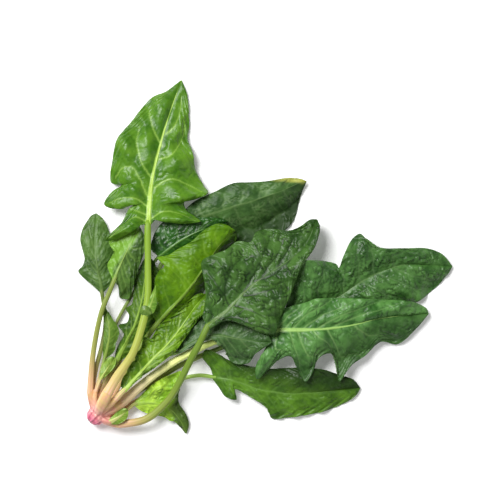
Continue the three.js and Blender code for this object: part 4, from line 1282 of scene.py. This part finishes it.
# the crown: a core with a stub to every leaf, melted into one piece
def buildCrown(look):
    dice = np.random.default_rng(seedOfPlant)
    centre = np.array(look["centre"], float)
    bpy.ops.object.select_all(action="DESELECT")
    bpy.ops.mesh.primitive_uv_sphere_add(segments=32, ring_count=20, radius=1)
    core = bpy.context.object
    setMesh(core, pointsOf(core) * np.array(look["radii"]) + centre, {})
    stubs = []
    for foot, half, heading in feet:
        end = foot + heading * 1.2
        bend = end - heading * 0.35 * np.linalg.norm(end - centre)
        steps = np.linspace(0.12, 1, 7)[:, None]
        knots = (1 - steps) ** 2 * centre + 2 * steps * (1 - steps) * bend + steps ** 2 * end
        halves = half * (1 + look["flare"] * (1 - steps[:, 0]))
        halves[-1] = half * 0.98
        stub, points, _, _, _ = tubePiece("stub", list(knots), list(halves), dice, 0)
        setMesh(stub, points, {})
        stubs.append(stub)
    bpy.ops.object.select_all(action="DESELECT")
    for part in stubs + [core]:
        part.select_set(True)
    bpy.context.view_layer.objects.active = core
    bpy.ops.object.join()
    core.name = "crownBody"
    shapeWith(core, "REMESH", mode="VOXEL", voxel_size=look["voxel"] * mm * 1)
    shapeWith(core, "SMOOTH", factor=0.5, iterations=4)

    points = pointsOf(core) / mm
    root = unit(np.array(look["rootDirection"], float))
    toRoot = (points - centre) @ root
    away = unit(points - centre)
    turn = np.arctan2(away @ np.cross(root, (0, 0, 1)), away[:, 2])
    ridges = np.sin(9 * turn + 0.12 * toRoot) + 0.6 * np.sin(17 * turn + 1.0) + 0.5 * np.sin(toRoot * 2.1)
    points = points + away * (look["ridgeHeight"] * ridges * smoothStep(-6, 1, toRoot))[:, None]
    past = np.maximum((points - centre) @ root - look["rootCut"], 0)
    points = points - root * (past * look["rootSquash"])[:, None]
    points[:, 2] = np.maximum(points[:, 2], sheetRules["floorGap"])
    distance = np.linalg.norm(points - centre, axis=1)
    facing = np.clip((points - centre) @ root / np.maximum(distance, 0.1), 0, 1)
    depth = np.clip(distance * (1 - facing) / look["colourReach"], 0, 1)
    furrow = np.clip(0.45 - 0.55 * ridges, 0, 1) * smoothStep(-14, 2, toRoot)
    setMesh(core, points + shift, {"depth": depth, "furrow": furrow})

    material, tree, shader = newMaterial("crownSkin", 0.36, coat=0.15)
    stops = [(0.0, "rootColour"), (0.12, "pinkColour"), (0.5, "paleColour"), (1.0, "footColour")]
    colour = colourRamp(tree, field(tree, "depth"), [(place, look[name]) for place, name in stops])
    patches = sharpened(tree, noise(tree, 260, 4), 0.45, 0.7)
    colour = colourMix(tree, scaled(tree, patches, 0.35), colour, look["pinkColour"])
    colour = colourMix(tree, scaled(tree, field(tree, "furrow"), 0.6), colour, look["rootColour"])
    tree.links.new(colour, shader.inputs["Base Color"])
    fineGrain(tree, shader, 420, 0.3)
    core.data.materials.clear()
    core.data.materials.append(material)
    finishPiece(core, "crown")
    print("crown melted from", len(stubs), "stubs")


buildCrown(crownLook)

studio = {
    "floorSize": 8,
    "floorDrop": 0.0003,
    "floorColour": (0.9, 0.9, 0.9),
    "floorGlow": 0.13,
    "fill": 0.17,
    "lamps": [
        {"name": "keyLight", "place": (-0.55, 0.79, 1.28), "size": 0.9, "power": 38},
        {"name": "rightFill", "place": (1.5, -0.2, 0.9), "size": 1.4, "power": 5},
        {"name": "lowFill", "place": (-0.3, -1.3, 0.9), "size": 1.4, "power": 4},
    ],
    "aim": (0.1218, 0.1316, 0.0),
    "height": 1.5,
    "lens": 135,
    "sensor": 36,
}


def lightStudio(look):
    bpy.ops.object.select_all(action="DESELECT")
    bpy.ops.mesh.primitive_plane_add(size=look["floorSize"], location=(0, 0, -look["floorDrop"]))
    floor = bpy.context.object
    floor.name = "floor"
    material, _, shader = newMaterial("paper", 0.8)
    shader.inputs["Base Color"].default_value = look["floorColour"] + (1,)
    shader.inputs["Specular IOR Level"].default_value = 0.1
    shader.inputs["Emission Color"].default_value = (1, 1, 1, 1)
    shader.inputs["Emission Strength"].default_value = look["floorGlow"]
    floor.data.materials.append(material)

    world = bpy.data.worlds.new("studioAir")
    bpy.context.scene.world = world
    world.use_nodes = True
    air = world.node_tree.nodes["Background"]
    air.inputs["Color"].default_value = (1, 1, 1, 1)
    air.inputs["Strength"].default_value = look["fill"]

    aim = mathutils.Vector(look["aim"])
    for lamp in look["lamps"]:
        bpy.ops.object.light_add(type="AREA", location=lamp["place"])
        light = bpy.context.object
        light.name = lamp["name"]
        light.data.shape = "DISK"
        light.data.size = lamp["size"]
        light.data.energy = lamp["power"]
        light.rotation_euler = (aim - light.location).to_track_quat("-Z", "Y").to_euler()

    bpy.ops.object.camera_add(location=(aim.x, aim.y, look["height"]), rotation=(0, 0, 0))
    camera = bpy.context.object
    camera.name = "photoCamera"
    camera.data.lens = look["lens"]
    camera.data.sensor_width = look["sensor"]
    camera.data.clip_end = 50
    scene = bpy.context.scene
    scene.camera = camera
    scene.view_settings.view_transform = "Standard"
    scene.view_settings.look = "None"
    print("studio lit")


lightStudio(studio)
